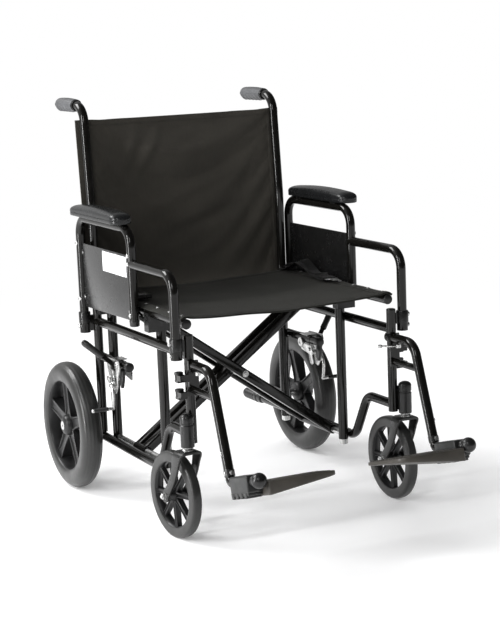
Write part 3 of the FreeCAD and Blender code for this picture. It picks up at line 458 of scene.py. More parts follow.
class Shape:
    """A mesh that is drawn from lofts, lathes, sweeps and blocks, and then becomes a piece."""

    def __init__(self):
        self.mesh = bmesh.new()

    def loft(self, rings, closed=False, caps=True):
        """Rings of points joined by a skin."""
        rows = [[self.mesh.verts.new(point) for point in ring] for ring in rings]
        pairs = list(zip(rows, rows[1:]))
        if closed:
            pairs.append((rows[-1], rows[0]))
        for low, high in pairs:
            for i in range(len(low)):
                j = (i + 1) % len(low)
                self.mesh.faces.new((low[i], low[j], high[j], high[i]))
        if caps and not closed:
            for row in (rows[0], rows[-1]):
                if (row[0].co - row[len(row) // 2].co).length > 1e-6:
                    self.mesh.faces.new(row)
        return self

    def lathe(self, profile, placement, segments=48, closed=False):
        """A turned shape; the profile is pairs of distance along the axis and radius."""
        rings = [[placement @ Vector((u, v, along)) for u, v in circle(radius, segments)]
                 for along, radius in profile]
        return self.loft(rings, closed)

    def rod(self, start, end, radius, chamfer=0.0, segments=24):
        """A round bar with chamfered ends."""
        start, end = Vector(start), Vector(end)
        length = (end - start).length
        c = min(chamfer, length * 0.4)
        profile = [(0, radius - c), (c, radius), (length - c, radius), (length, radius - c)]
        if not c:
            profile = [(0, radius), (length, radius)]
        return self.lathe(profile, at(start, end - start), segments)

    def sweep(self, path, section, side=None, scales=None, closed=False, caps=True):
        """A section carried along a path without twisting."""
        path = [Vector(point) for point in path]
        count = len(path)
        scales = scales or [1.0] * count
        rings, normal, before = [], None, None
        for index, point in enumerate(path):
            ahead = path[(index + 1) % count] if closed or index < count - 1 else point
            behind = path[index - 1] if closed or index > 0 else point
            way = (ahead - behind).normalized()
            if normal is None:
                normal = turned(way, side).col[0].to_3d()
            else:
                normal.rotate(before.rotation_difference(way))
            before = way
            across = way.cross(normal)
            rings.append([point + (normal * u + across * v) * scales[index] for u, v in section])
        return self.loft(rings, closed, caps)

    def block(self, low, high, bevel=0.6 * MM, placement=None, segments=2):
        """A box between two corners with rounded edges."""
        low, high = Vector(low), Vector(high)
        middle = Matrix.Translation((low + high) / 2)
        scale = Matrix.Diagonal((*(high - low), 1))
        made = bmesh.ops.create_cube(self.mesh, size=1, matrix=(placement or Matrix()) @ middle @ scale)
        edges = {edge for vert in made["verts"] for edge in vert.link_edges}
        bmesh.ops.bevel(self.mesh, geom=list(edges), offset=bevel, segments=segments,
                        affect="EDGES", profile=0.5)
        return self

    def prism(self, outline, thickness, placement, bevel=0.6 * MM):
        """A plate from an outline, half its thickness to each side, with rounded edges."""
        half = thickness / 2
        outline = [Vector(point) for point in outline]
        middle = sum(outline, Vector((0, 0))) / len(outline)
        rings = []
        for inset, height in ((bevel, -half), (bevel * 0.3, -half + bevel * 0.3), (0, -half + bevel),
                              (0, half - bevel), (bevel * 0.3, half - bevel * 0.3), (bevel, half)):
            ring = []
            for point in outline:
                way = point - middle
                near = point - way.normalized() * min(inset, way.length * 0.5)
                ring.append(placement @ Vector((near.x, near.y, height)))
            rings.append(ring)
        return self.loft(rings)

    def transform(self, matrix):
        """Move or turn all that has been drawn so far."""
        bmesh.ops.transform(self.mesh, matrix=matrix, verts=self.mesh.verts)
        return self

    def piece(self, name, material, body=None, slot=None, replaces=(), sharp=32, smooth=0):
        """The finished piece, riding on a body."""
        bmesh.ops.remove_doubles(self.mesh, verts=self.mesh.verts, dist=1e-6)
        bmesh.ops.recalc_face_normals(self.mesh, faces=self.mesh.faces)
        data = bpy.data.meshes.new(name)
        self.mesh.to_mesh(data)
        self.mesh.free()
        data.polygons.foreach_set("use_smooth", [True] * len(data.polygons))
        data.set_sharp_from_angle(angle=math.radians(sharp))
        data.materials.append(material)
        obj = bpy.data.objects.new(name, data)
        bpy.context.scene.collection.objects.link(obj)
        if smooth:
            obj.modifiers.new("smooth", "SUBSURF").levels = smooth
            obj.modifiers["smooth"].render_levels = smooth
        if body:
            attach(obj, body)
        if replaces:
            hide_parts(*replaces)
        return obj


def screw_head(shape, place, direction, radius=4 * MM, height=2 * MM):
    """A domed cross-recess screw head with a washer under it."""
    turn = at(place, direction)
    shape.lathe([(0, radius * 1.35), (0.5 * MM, radius * 1.4), (0.9 * MM, radius * 1.3),
                 (0.9 * MM, radius)], turn, 24)
    dome = [(0.9 * MM + height * math.sin(a), radius * math.cos(a))
            for a in (0, 0.35, 0.7, 1.0)]
    shape.lathe([*dome, (0.9 * MM + height, radius * 0.38), (0.9 * MM + height * 0.45, radius * 0.26),
                 (0.9 * MM + height * 0.45, 0)], turn, 24)


def hex_nut(shape, place, direction, across=13 * MM, height=6 * MM, shank=0.0):
    """A hexagon nut or bolt head with a chamfered face, and a thread end beyond it."""
    turn = at(place, direction)
    radius = across / math.sqrt(3)
    shape.lathe([(0, across * 0.62), (0.8 * MM, across * 0.62), (0.8 * MM, radius),
                 (0.8 * MM + height * 0.85, radius), (0.8 * MM + height, radius * 0.88)], turn, 6)
    if shank:
        shape.rod(turn @ Vector((0, 0, height)), turn @ Vector((0, 0, height + shank)),
                  across * 0.27, 0.6 * MM)


def centre(node):
    """The middle of a CAD node's box."""
    low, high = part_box(node)
    return (low + high) / 2


# ---------------------------------------------------------------- cloth

class Cloth:
    """A rectangular sheet of cloth: a grid of points that a simulation lets hang."""

    def __init__(self, columns, rows, point):
        self.columns, self.rows = columns, rows
        self.points = [[Vector(point(i / columns, j / rows)) for j in range(rows + 1)]
                       for i in range(columns + 1)]

    def settle(self, pinned, frames, weight, stiffness, bending, shrink=0.0):
        """Let the cloth hang from its pinned points, by Blender's cloth simulation.

        weight is the share of gravity that pulls on it; a taut sling feels little.
        """
        data = bpy.data.meshes.new("settling")
        flat = [self.points[i][j] for i in range(self.columns + 1) for j in range(self.rows + 1)]
        index = {(i, j): i * (self.rows + 1) + j
                 for i in range(self.columns + 1) for j in range(self.rows + 1)}
        faces = [(index[i, j], index[i + 1, j], index[i + 1, j + 1], index[i, j + 1])
                 for i in range(self.columns) for j in range(self.rows)]
        data.from_pydata(flat, [], faces)
        obj = bpy.data.objects.new("settling", data)
        bpy.context.scene.collection.objects.link(obj)
        pins = obj.vertex_groups.new(name="pins")
        for (i, j), number in index.items():
            pin = pinned(i / self.columns, j / self.rows)
            if pin > 0:
                pins.add([number], pin, "REPLACE")
        cloth = obj.modifiers.new("cloth", "CLOTH")
        cloth.settings.vertex_group_mass = "pins"
        cloth.settings.mass = 0.25
        cloth.settings.effector_weights.gravity = weight
        cloth.settings.tension_stiffness = stiffness
        cloth.settings.compression_stiffness = stiffness
        cloth.settings.shear_stiffness = stiffness * 0.4
        cloth.settings.bending_stiffness = bending
        cloth.settings.tension_damping = 20
        cloth.settings.air_damping = 4
        cloth.settings.shrink_min = shrink
        cloth.collision_settings.use_collision = False
        scene = bpy.context.scene
        for number in range(1, frames + 1):
            scene.frame_set(number)
        settled = obj.evaluated_get(bpy.context.evaluated_depsgraph_get()).data
        for (i, j), number in index.items():
            self.points[i][j] = settled.vertices[number].co.copy()
        scene.frame_set(1)
        bpy.data.objects.remove(obj)
        bpy.data.meshes.remove(data)

    def at(self, u, v):
        """The point at shares u and v of the sheet."""
        a = min(max(u, 0), 1) * self.columns
        b = min(max(v, 0), 1) * self.rows
        i, j = min(int(a), self.columns - 1), min(int(b), self.rows - 1)
        s, t = a - i, b - j
        low = self.points[i][j].lerp(self.points[i + 1][j], s)
        high = self.points[i][j + 1].lerp(self.points[i + 1][j + 1], s)
        return low.lerp(high, t)

    def normal(self, u, v):
        """The sheet's normal at shares u and v."""
        step = 0.004
        across = self.at(u + step, v) - self.at(u - step, v)
        along = self.at(u, v + step) - self.at(u, v - step)
        return across.cross(along).normalized()

    def skin(self, shape, height, thickness, fine=1):
        """Both faces of the cloth and its edges; height lifts the outer face at u, v."""
        columns, rows = self.columns * fine, self.rows * fine
        faces = []
        for level in (1, 0):
            grid = []
            for i in range(columns + 1):
                u = i / columns
                line = []
                for j in range(rows + 1):
                    v = j / rows
                    lift = thickness / 2 + height(u, v) if level else -thickness / 2
                    line.append(shape.mesh.verts.new(self.at(u, v) + self.normal(u, v) * lift))
                grid.append(line)
            faces.append(grid)
        outer, inner = faces
        for grid in faces:
            for i in range(columns):
                for j in range(rows):
                    shape.mesh.faces.new((grid[i][j], grid[i + 1][j], grid[i + 1][j + 1],
                                          grid[i][j + 1]))
        rim = [(i, 0) for i in range(columns)] + [(columns, j) for j in range(rows)]
        rim += [(i, rows) for i in range(columns, 0, -1)] + [(0, j) for j in range(rows, 0, -1)]
        for (i, j), (k, m) in zip(rim, rim[1:] + rim[:1]):
            shape.mesh.faces.new((outer[i][j], outer[k][m], inner[k][m], inner[i][j]))

    def stitch(self, shape, line, lift, pitch=4.2 * MM, radius=0.42 * MM):
        """A row of stitches along a line of shares (u, v)."""
        ends = [(self.at(*a), self.at(*b)) for a, b in zip(line, line[1:])]
        for (a, b), (start, end) in zip(zip(line, line[1:]), ends):
            count = max(1, int((end - start).length / pitch))
            for number in range(count):
                shares = [(number + part) / count for part in (0.12, 0.5, 0.88)]
                places = []
                for share, rise in zip(shares, (0, 0.35 * MM, 0)):
                    u = a[0] + (b[0] - a[0]) * share
                    v = a[1] + (b[1] - a[1]) * share
                    places.append(self.at(u, v) + self.normal(u, v) * (lift + rise))
                shape.sweep(places, circle(radius, 6), scales=(0.5, 1, 0.5))


# ---------------------------------------------------------------- upholstery

def back_upholstery():
    """The back sling: canvas that hangs between the canes, with hems and seams."""
    low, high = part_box("back_sling")
    cane_x = centre("left_back_cane").x
    front = low.y + 1.6 * MM
    hem = 15 * MM
    overhang = 8 * MM
    low.x -= overhang
    high.x += overhang
    width, height = high.x - low.x, high.z - low.z

    def flat(u, v):
        x = low.x + width * u
        z = low.z + height * v
        y = front + max(0, z - LEAN_Z) * LEAN
        bow = math.cos(min(abs(x) / cane_x, 1) * math.pi / 2)
        return x, y + 7 * MM * bow, z

    cloth = Cloth(72, 60, flat)

    def pinned(u, v):
        past_cane = abs(low.x + width * u) - (cane_x - 7 * MM)
        return 1.0 if past_cane > 0 else 0.0

    cloth.settle(pinned, 40, 0.12, 25, 1.2, shrink=-0.008)
    wrinkles = [
        # where a fold starts, where it ends (shares of the sheet), its depth and half width in mm
        ((0.30, 0.97), (0.20, 0.70), 4.0, 15),
        ((0.42, 0.97), (0.24, 0.62), 3.4, 14),
        ((0.18, 0.97), (0.08, 0.66), 3.0, 13),
        ((0.62, 0.96), (0.44, 0.84), 1.8, 13),
        ((0.80, 0.70), (0.30, 0.48), 2.8, 18),
        ((0.84, 0.56), (0.34, 0.36), 2.8, 18),
        ((0.76, 0.42), (0.26, 0.20), 2.2, 20),
        ((0.97, 0.95), (0.80, 0.80), 3.0, 12),
        ((0.97, 0.86), (0.84, 0.64), 2.4, 11),
        ((0.06, 0.34), (0.40, 0.10), 2.0, 20),
    ]

    def fold(u, v):
        total = 0.0
        for (u0, v0), (u1, v1), depth, half_width in wrinkles:
            a = Vector((u0 * width, v0 * height))
            b = Vector((u1 * width, v1 * height))
            p = Vector((u * width, v * height))
            share = min(max((p - a).dot(b - a) / (b - a).length_squared, 0), 1)
            off = (p - a.lerp(b, share)).length / (half_width * MM)
            total += 1.35 * depth * MM * math.exp(-off * off) * math.sin(math.pi * (0.12 + 0.76 * share))
        edge = min(u, 1 - u) * width
        return total * min(1, edge / (30 * MM))

    # The back's top edge sinks this much at most, and it is drawn this far back to flat.
    sag, taut = 3 * MM, 0.2
    for i in range(cloth.columns + 1):
        for j in range(cloth.rows + 1):
            u, v = i / cloth.columns, j / cloth.rows
            point = cloth.points[i][j]
            point.z = max(point.z, low.z + height * v - sag)
            point.y += (flat(u, v)[1] - point.y) * taut
            limit = front + 14 * MM + max(0, point.z - LEAN_Z) * LEAN
            point.y = min(max(point.y - fold(u, v), front - 7 * MM), limit)
            point.y -= noise.noise(Vector((u * 7, v * 6, 3))) * 1.2 * MM * (1 - abs(2 * u - 1))

    def relief(u, v):
        top = (1 - v) * height
        side = min(u, 1 - u) * width
        seam = 33 * MM
        lift = 0.9 * MM if top < hem else 0.0
        if v * height < hem:
            lift += 0.8 * MM
        if side < seam:
            lift += 0.7 * MM
        for distance in (abs(side - seam), abs(top - hem)):
            lift -= 0.5 * MM * math.exp(-(distance / (1.4 * MM)) ** 2)
        pull = math.sin(side / (9 * MM)) * math.exp(-side / (45 * MM))
        return lift + 0.25 * MM * pull * math.sin(v * 55)

    shape = Shape()
    cloth.skin(shape, relief, 1.6 * MM, fine=3)
    fabric = shape.piece("back_canvas", materials["back"], None, "nylon_fabric", ["back_sling"], 60)
    thread = Shape()
    seam_u, top_v, bottom_v = 33 * MM / width, 1 - hem / height, hem / height
    for u in (seam_u * 0.93, 1 - seam_u * 0.93):
        cloth.stitch(thread, [(u, j / 40) for j in range(1, 40)], 1.5 * MM)
    for v in (top_v + 0.004, bottom_v - 0.004):
        cloth.stitch(thread, [(i / 40, v) for i in range(1, 40)], 1.9 * MM)
    stitching = thread.piece("back_stitching", materials["thread"], None, "nylon_fabric")
    for obj in (fabric, stitching):
        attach(obj, "left_frame")
        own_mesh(obj)


def seat_upholstery():
    """The seat sling: canvas screwed along both rails, with a thick front hem."""
    low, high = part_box("seat_sling")
    rail_x = centre("left_seat_rail").x
    edge_z = high.z
    width, length = high.x - low.x, high.y - low.y

    def flat(u, v):
        x = low.x + width * u
        bow = math.cos(min(abs(x) / rail_x, 1) * math.pi / 2)
        return x, low.y + length * v, edge_z - 1.4 * MM - 10 * MM * bow

    cloth = Cloth(72, 66, flat)

    def pinned(u, v):
        return 1.0 if abs(low.x + width * u) > rail_x - 10 * MM else 0.0

    cloth.settle(pinned, 40, 0.07, 25, 1.5, shrink=-0.004)
    sag = 2 * MM
    for i in range(cloth.columns + 1):
        for j in range(cloth.rows + 1):
            u, v = i / cloth.columns, j / cloth.rows
            point = cloth.points[i][j]
            point.z = max(point.z, flat(u, v)[2] - sag)
            inner = 1 - abs(2 * u - 1) ** 3
            point.z += noise.noise(Vector((u * 5, v * 4, 9))) * 2.2 * MM * inner
            pucker = math.sin(v * 30 + math.sin(u * 9) * 1.5) * 0.7 * MM
            point.z += pucker * math.exp(-min(u, 1 - u) * 18)
            past = max(0, abs(point.x) - rail_x)
            point.z -= past**2 / (24 * MM)
            point.z = max(point.z, low.z - 6 * MM)

    front_hem, side_hem = 20 * MM, 30 * MM

    def relief(u, v):
        front = v * length
        side = min(u, 1 - u) * width
        lift = 1.6 * MM if front < front_hem else 0.0
        if (1 - v) * length < front_hem:
            lift += 1.0 * MM
        if side < side_hem:
            lift += 0.8 * MM
        for distance in (abs(front - front_hem), abs(side - side_hem)):
            lift -= 0.6 * MM * math.exp(-(distance / (1.5 * MM)) ** 2)
        return lift

    shape = Shape()
    cloth.skin(shape, relief, 2.4 * MM, fine=3)
    fabric = shape.piece("seat_canvas", materials["seat"], None, "nylon_fabric", ["seat_sling"], 60)
    thread = Shape()
    for v in (front_hem * 0.86 / length, front_hem * 0.35 / length, 1 - front_hem * 0.86 / length):
        cloth.stitch(thread, [(i / 40, v) for i in range(1, 40)], 2.9 * MM)
    for u in (side_hem * 0.9 / width, 1 - side_hem * 0.9 / width):
        cloth.stitch(thread, [(u, j / 40) for j in range(1, 40)], 2.1 * MM)
    stitching = thread.piece("seat_stitching", materials["thread"], None, "nylon_fabric")
    for obj in (fabric, stitching):
        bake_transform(obj)

    for name, side in SIDES.items():
        screws = Shape()
        for number in range(8):
            v = 0.04 + 0.92 * number / 7
            u = 0.5 + side * (rail_x - 0.5 * MM) / width
            screw_head(screws, cloth.at(u, v) + Z * 1.6 * MM, Z, 3.6 * MM, 1.6 * MM)
        body = "crossbar_b" if side > 0 else "crossbar_a"
        screws.piece(f"{name}_seat_screws", materials["zinc"], body, "zinc_steel")
        caps = Shape()
        rail_low, rail_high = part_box(f"{name}_seat_rail")
        radius = (rail_high.x - rail_low.x) / 2
        for y, way in ((rail_low.y, -1), (rail_high.y, 1)):
            caps.lathe([(-6 * MM, radius - 2 * MM), (-0.2 * MM, radius - 2 * MM),
                        (-0.2 * MM, radius), (2 * MM, radius), (4.5 * MM, radius * 0.86),
                        (6 * MM, radius * 0.5), (6.4 * MM, 0)],
                       at((side * rail_x, y, rail_low.z + radius), Y * way), 32)
        caps.piece(f"{name}_rail_caps", materials["plastic"], body, "moulded_black")


def ribbon(shape, path, width, thickness=1.7 * MM, side=X, twist=None):
    """A flat strap along a path; twist gives its roll in degrees at each of the path's points."""
    path = [Vector(point) for point in path]
    rings = []
    for index, point in enumerate(path):
        way = (path[min(index + 1, len(path) - 1)] - path[max(index - 1, 0)]).normalized()
        across = (side - way * side.dot(way)).normalized()
        if twist:
            across.rotate(Matrix.Rotation(math.radians(twist[index]), 3, way))
        up = way.cross(across)
        ring = []
        for u, v in rectangle(width, thickness, thickness * 0.45, 2):
            ring.append(point + across * u + up * v)
        rings.append(ring)
    shape.loft(rings)


def spread(values, count):
    """A list of values resampled smoothly to a count."""
    result = []
    for index in range(count):
        at_value = index / (count - 1) * (len(values) - 1)
        low = min(int(at_value), len(values) - 2)
        share = at_value - low
        share = share * share * (3 - 2 * share)
        result.append(values[low] + (values[low + 1] - values[low]) * share)
    return result


def seat_belts():
    """The two halves of the lap belt, each a loose strap of webbing with its buckle half.

    A route is in millimetres from the belt's rear end: across, along and up.
    """
    for name, side in SIDES.items():
        body = "crossbar_b" if side > 0 else "crossbar_a"
        low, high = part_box(f"{name}_belt")
        middle = (low.x + high.x) / 2
        base = low.z + 1.5 * MM
        if side > 0:
            route = [(4, -6, 1), (2, -40, 6), (-5, -80, 20), (-2, -112, 26), (5, -140, 12),
                     (6, -170, 3), (0, -205, 7), (-6, -236, 3), (-4, -262, 2)]
            rolls = [0, 6, 14, -8, -18, -4, 10, 5, 0]
        else:
            route = [(4, -4, 1), (0, -30, 7), (-6, -58, 14), (4, -84, 5), (9, -112, 12),
                     (2, -140, 17), (-6, -165, 4), (-2, -186, 2)]
            rolls = [0, -10, 12, 20, -12, -16, 8, 0]
        points = [Vector((middle + side * x * MM, high.y + y * MM, base + z * MM))
                  for x, y, z in route]
        path = smooth_path(points, 8)
        strap = Shape()
        ribbon(strap, path, 36 * MM, side=X, twist=spread(rolls, len(path)))
        second = [point + Vector((side * 5 * MM, 4 * MM, 2.4 * MM)) for point in path[:-14]]
        ribbon(strap, second, 35 * MM, side=X, twist=spread([-r for r in rolls], len(second)))
        end = path[-1]
        ribbon(strap, [end + Vector((0, y, z)) for y, z in ((0, 0), (-6 * MM, 2.2 * MM),
               (-3 * MM, 4.4 * MM), (14 * MM, 4.8 * MM), (30 * MM, 4.4 * MM))], 35 * MM)
        webbing = strap.piece(f"{name}_belt_webbing", materials["webbing"], body, "belt_webbing",
                              [f"{name}_belt"], 40)
        buckle = Shape()
        if side > 0:
            tongue = [(-17, 0), (17, 0), (17, -13), (9, -17), (9, -34), (-9, -34), (-9, -17), (-17, -13)]
            outline = [(p.x, p.y) for p in rounded([Vector((x * MM, y * MM)) for x, y in tongue],
                                                   3 * MM, 3, closed=True)]
            buckle.prism(outline, 2 * MM, at(end + Vector((0, -2 * MM, 2.5 * MM)), Z, X), 0.4 * MM)
            buckle.piece(f"{name}_belt_tongue", materials["zinc"], body, "zinc_steel")
        else:
            shell = [(-20, 0), (20, 0), (22, -14), (20, -52), (-20, -52), (-22, -14)]
            outline = [(p.x, p.y) for p in rounded([Vector((x * MM, y * MM)) for x, y in shell],
                                                   6 * MM, 4, closed=True)]
            buckle.prism(outline, 10 * MM, at(end + Vector((0, -2 * MM, 5 * MM)), Z, X), 2.4 * MM)
            buckle.piece(f"{name}_belt_buckle", materials["plastic"], body, "moulded_black")
            button = Shape()
            button.block((end.x - 11 * MM, end.y - 47 * MM, end.z + 9 * MM),
                         (end.x + 11 * MM, end.y - 30 * MM, end.z + 11.2 * MM), 0.9 * MM)
            button.piece(f"{name}_belt_release", materials["zinc"], body, "zinc_steel")


# ---------------------------------------------------------------- armrests

def arm_pads():
    """Moulded pads: an upright side wall, a seam line, and a crown that is highest near the rear."""
    for name in SIDES:
        low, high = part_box(f"{name}_arm_pad")
        middle = (low.x + high.x) / 2
        half = (high.x - low.x) / 2
        length = high.y - low.y
        wall = 9.5 * MM
        crown = high.z - low.z - wall + 3 * MM
        end_round = 24 * MM
        stations = [0.0008, 0.003, 0.008, 0.018, 0.032, 0.05, 0.075]
        stations += [0.075 + 0.85 * i / 36 for i in range(1, 36)] + [1 - s for s in stations[::-1]]
        rings = []
        for share in stations:
            y = low.y + length * share
            near_end = min(share, 1 - share) * length
            reach = min(near_end / end_round, 1)
            plan = half * math.sqrt(max(1 - (1 - reach) ** 2.5, 0.0)) * 0.985 + 0.015 * half * reach
            rise = crown * (0.56 + 0.44 * math.sin(math.pi * min(share / 1.3 + 0.14, 1)) ** 1.2)
            rise *= math.sqrt(max(1 - (1 - min(near_end / (30 * MM), 1)) ** 2.2, 0.0)) * 0.96 + 0.04
            ring = [(-plan * 0.86, 0), (-plan * 0.95, 0.5 * MM), (-plan * 0.985, 2.2 * MM),
                    (-plan * 0.985, wall - 2.2 * MM), (-plan * 0.975, wall - 1.2 * MM),
                    (-plan * 0.935, wall - 0.4 * MM)]
            crowned = []
            for step in range(29):
                angle = math.pi * (1 - step / 28)
                u, v = math.cos(angle), math.sin(angle)
                crowned.append((plan * math.copysign(abs(u) ** 0.80, u), wall + rise * v**0.66))
            ring = ring + crowned + [(-u, v) for u, v in ring[::-1]]
            rings.append([Vector((middle + u, y, low.z + v)) for u, v in ring])
        shape = Shape()
        shape.loft(rings)
        pad = shape.piece(f"{name}_armrest_pad", materials["vinyl"], f"{name}_armrest", "arm_vinyl",
                          [f"{name}_arm_pad"], 48)
        tube_low, tube_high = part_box(f"{name}_arm_tube")
        brackets = Shape()
        for share in (0.22, 0.80):
            y = low.y + length * share
            x = (tube_low.x + tube_high.x) / 2
            brackets.block((x - 9 * MM, y - 11 * MM, tube_high.z - 5 * MM),
                           (x + 9 * MM, y + 11 * MM, low.z + 0.2 * MM), 1.2 * MM)
        brackets.piece(f"{name}_pad_brackets", materials["plastic"], f"{name}_armrest",
                       "moulded_black")


def armrest_details():
    """The skirt guards with their screws and label, tube caps and joint screws."""
    for name, side in SIDES.items():
        body = f"{name}_armrest"
        low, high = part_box(f"{name}_skirt_guard")
        thickness = high.x - low.x
        x = (low.x + high.x) / 2
        outline = [(low.y, low.z + 6 * MM), (high.y, low.z), (high.y, high.z), (low.y, high.z)]
        outline = rounded([Vector(point) for point in outline], 7 * MM, 5, closed=True)
        guard = Shape()
        guard.prism([(p.x, p.y) for p in outline], thickness,
                    Matrix.Translation((x, 0, 0)) @ FACING_X, 0.7 * MM)
        guard.piece(f"{name}_guard_panel", materials["panel"], body, "guard_panel",
                    [f"{name}_skirt_guard"])
        rear_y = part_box(f"{name}_arm_tube")[1].y - TUBE
        front_y = low.y - 11.3 * MM
        outer = side * (abs(x) + TUBE)
        screws = Shape()
        for z in (high.z - 1 * MM, low.z + 18 * MM):
            screw_head(screws, (outer - side * 0.6 * MM, rear_y + 3 * MM, z), X * side, 5 * MM)
            screw_head(screws, (outer - side * 0.3 * MM, front_y, z + 2 * MM), X * side, 3.8 * MM)
        desk_z = high.z - 18 * MM
        screw_head(screws, (outer - side * 0.3 * MM, front_y, desk_z), X * side, 3.4 * MM)
        for z in (high.z - 22 * MM, low.z + 26 * MM):
            for y in (rear_y - 20 * MM, front_y + 20 * MM):
                hex_nut(screws, (x + side * thickness / 2, y, z), X * side, 6 * MM, 1.6 * MM)
        screws.piece(f"{name}_guard_screws", materials["zinc"], body, "zinc_steel")
        clips = Shape()
        for z in (high.z - 22 * MM, low.z + 26 * MM):
            for y in (rear_y - 14 * MM, front_y + 14 * MM):
                clips.block((x - 3.4 * MM, y - 10 * MM, z - 6 * MM),
                            (x + 3.4 * MM, y + 10 * MM, z + 6 * MM), 1.4 * MM)
        clips.piece(f"{name}_guard_clips", materials["plastic"], body, "moulded_black")
        cap = Shape()
        foot = Vector((x, front_y, 459.5 * MM))
        cap.lathe([(-10 * MM, 11.6 * MM), (0, 11.6 * MM), (2 * MM, 10.8 * MM), (3 * MM, 9 * MM),
                   (3.2 * MM, 0)], at(foot, -Z), 32)
        cap.lathe([(6 * MM, 11.5 * MM), (10 * MM, 12.2 * MM), (12 * MM, 11.5 * MM)], at(foot), 32)
        cap.piece(f"{name}_hoop_cap", materials["plastic"], body, "moulded_black")
    low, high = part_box("right_skirt_guard")
    label = Shape()
    x = low.x - 0.25 * MM
    near_y, far_y = low.y + 19 * MM, low.y + 168 * MM
    bottom_z, top_z = high.z - 53 * MM, high.z - 5 * MM
    outline = rounded([Vector((near_y, top_z)), Vector((near_y, bottom_z)),
                       Vector((far_y, bottom_z)), Vector((far_y, top_z))], 2 * MM, 4, closed=True)
    label.prism([(p.x, p.y) for p in outline], 0.35 * MM,
                Matrix.Translation((x, 0, 0)) @ FACING_X, 0.1 * MM)
    label.piece("blank_label", materials["label"], "right_armrest", "guard_panel")


def frame_sockets():
    """Collars, bolts and locks at the armrest sockets, which stay on the side frames."""
    for name, side in SIDES.items():
        body = f"{name}_frame"
        lock = centre(f"{name}_arm_lock_button")
        socket_x = side * ARM_X
        front_y, rear_y = lock.y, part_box(f"{name}_arm_tube")[1].y - TUBE
        front_top, rear_top = 461 * MM, 446 * MM
        bolt_x = socket_x + side * 12.6 * MM
        rings = Shape()
        for y, top in ((front_y, front_top), (rear_y, rear_top)):
            rings.lathe([(-26 * MM, 13.15 * MM), (-26 * MM, 14.6 * MM), (-0.8 * MM, 14.6 * MM),
                         (0.6 * MM, 13.9 * MM), (0.6 * MM, 11.3 * MM), (-2 * MM, 11.2 * MM)],
                        at((socket_x, y, top)), 36)
        rings.piece(f"{name}_socket_collars", materials["plastic"], body, "moulded_black")
        bolts = Shape()
        for y, top in ((rear_y, rear_top), (front_y, front_top)):
            hex_nut(bolts, (bolt_x, y, top - 34 * MM), X * side, 10 * MM, 4 * MM)
        bolts.piece(f"{name}_socket_bolts", materials["zinc"], body, "zinc_steel")
        button = Shape()
        start = Vector((lock.x - side * 2.6 * MM, lock.y, lock.z))
        button.lathe([(0, 4 * MM), (0, 5.3 * MM), (4.5 * MM, 5.3 * MM), (5.6 * MM, 4.4 * MM),
                      (5.9 * MM, 0)], at(start, X * side), 32)
        button.lathe([(-12 * MM, 2.4 * MM), (0.2 * MM, 2.4 * MM)], at(start, X * side), 20)
        button.piece(f"{name}_lock_button", materials["zinc"], f"{name}_arm_lock", "zinc_steel",
                     [f"{name}_arm_lock_button"])


# ---------------------------------------------------------------- grips

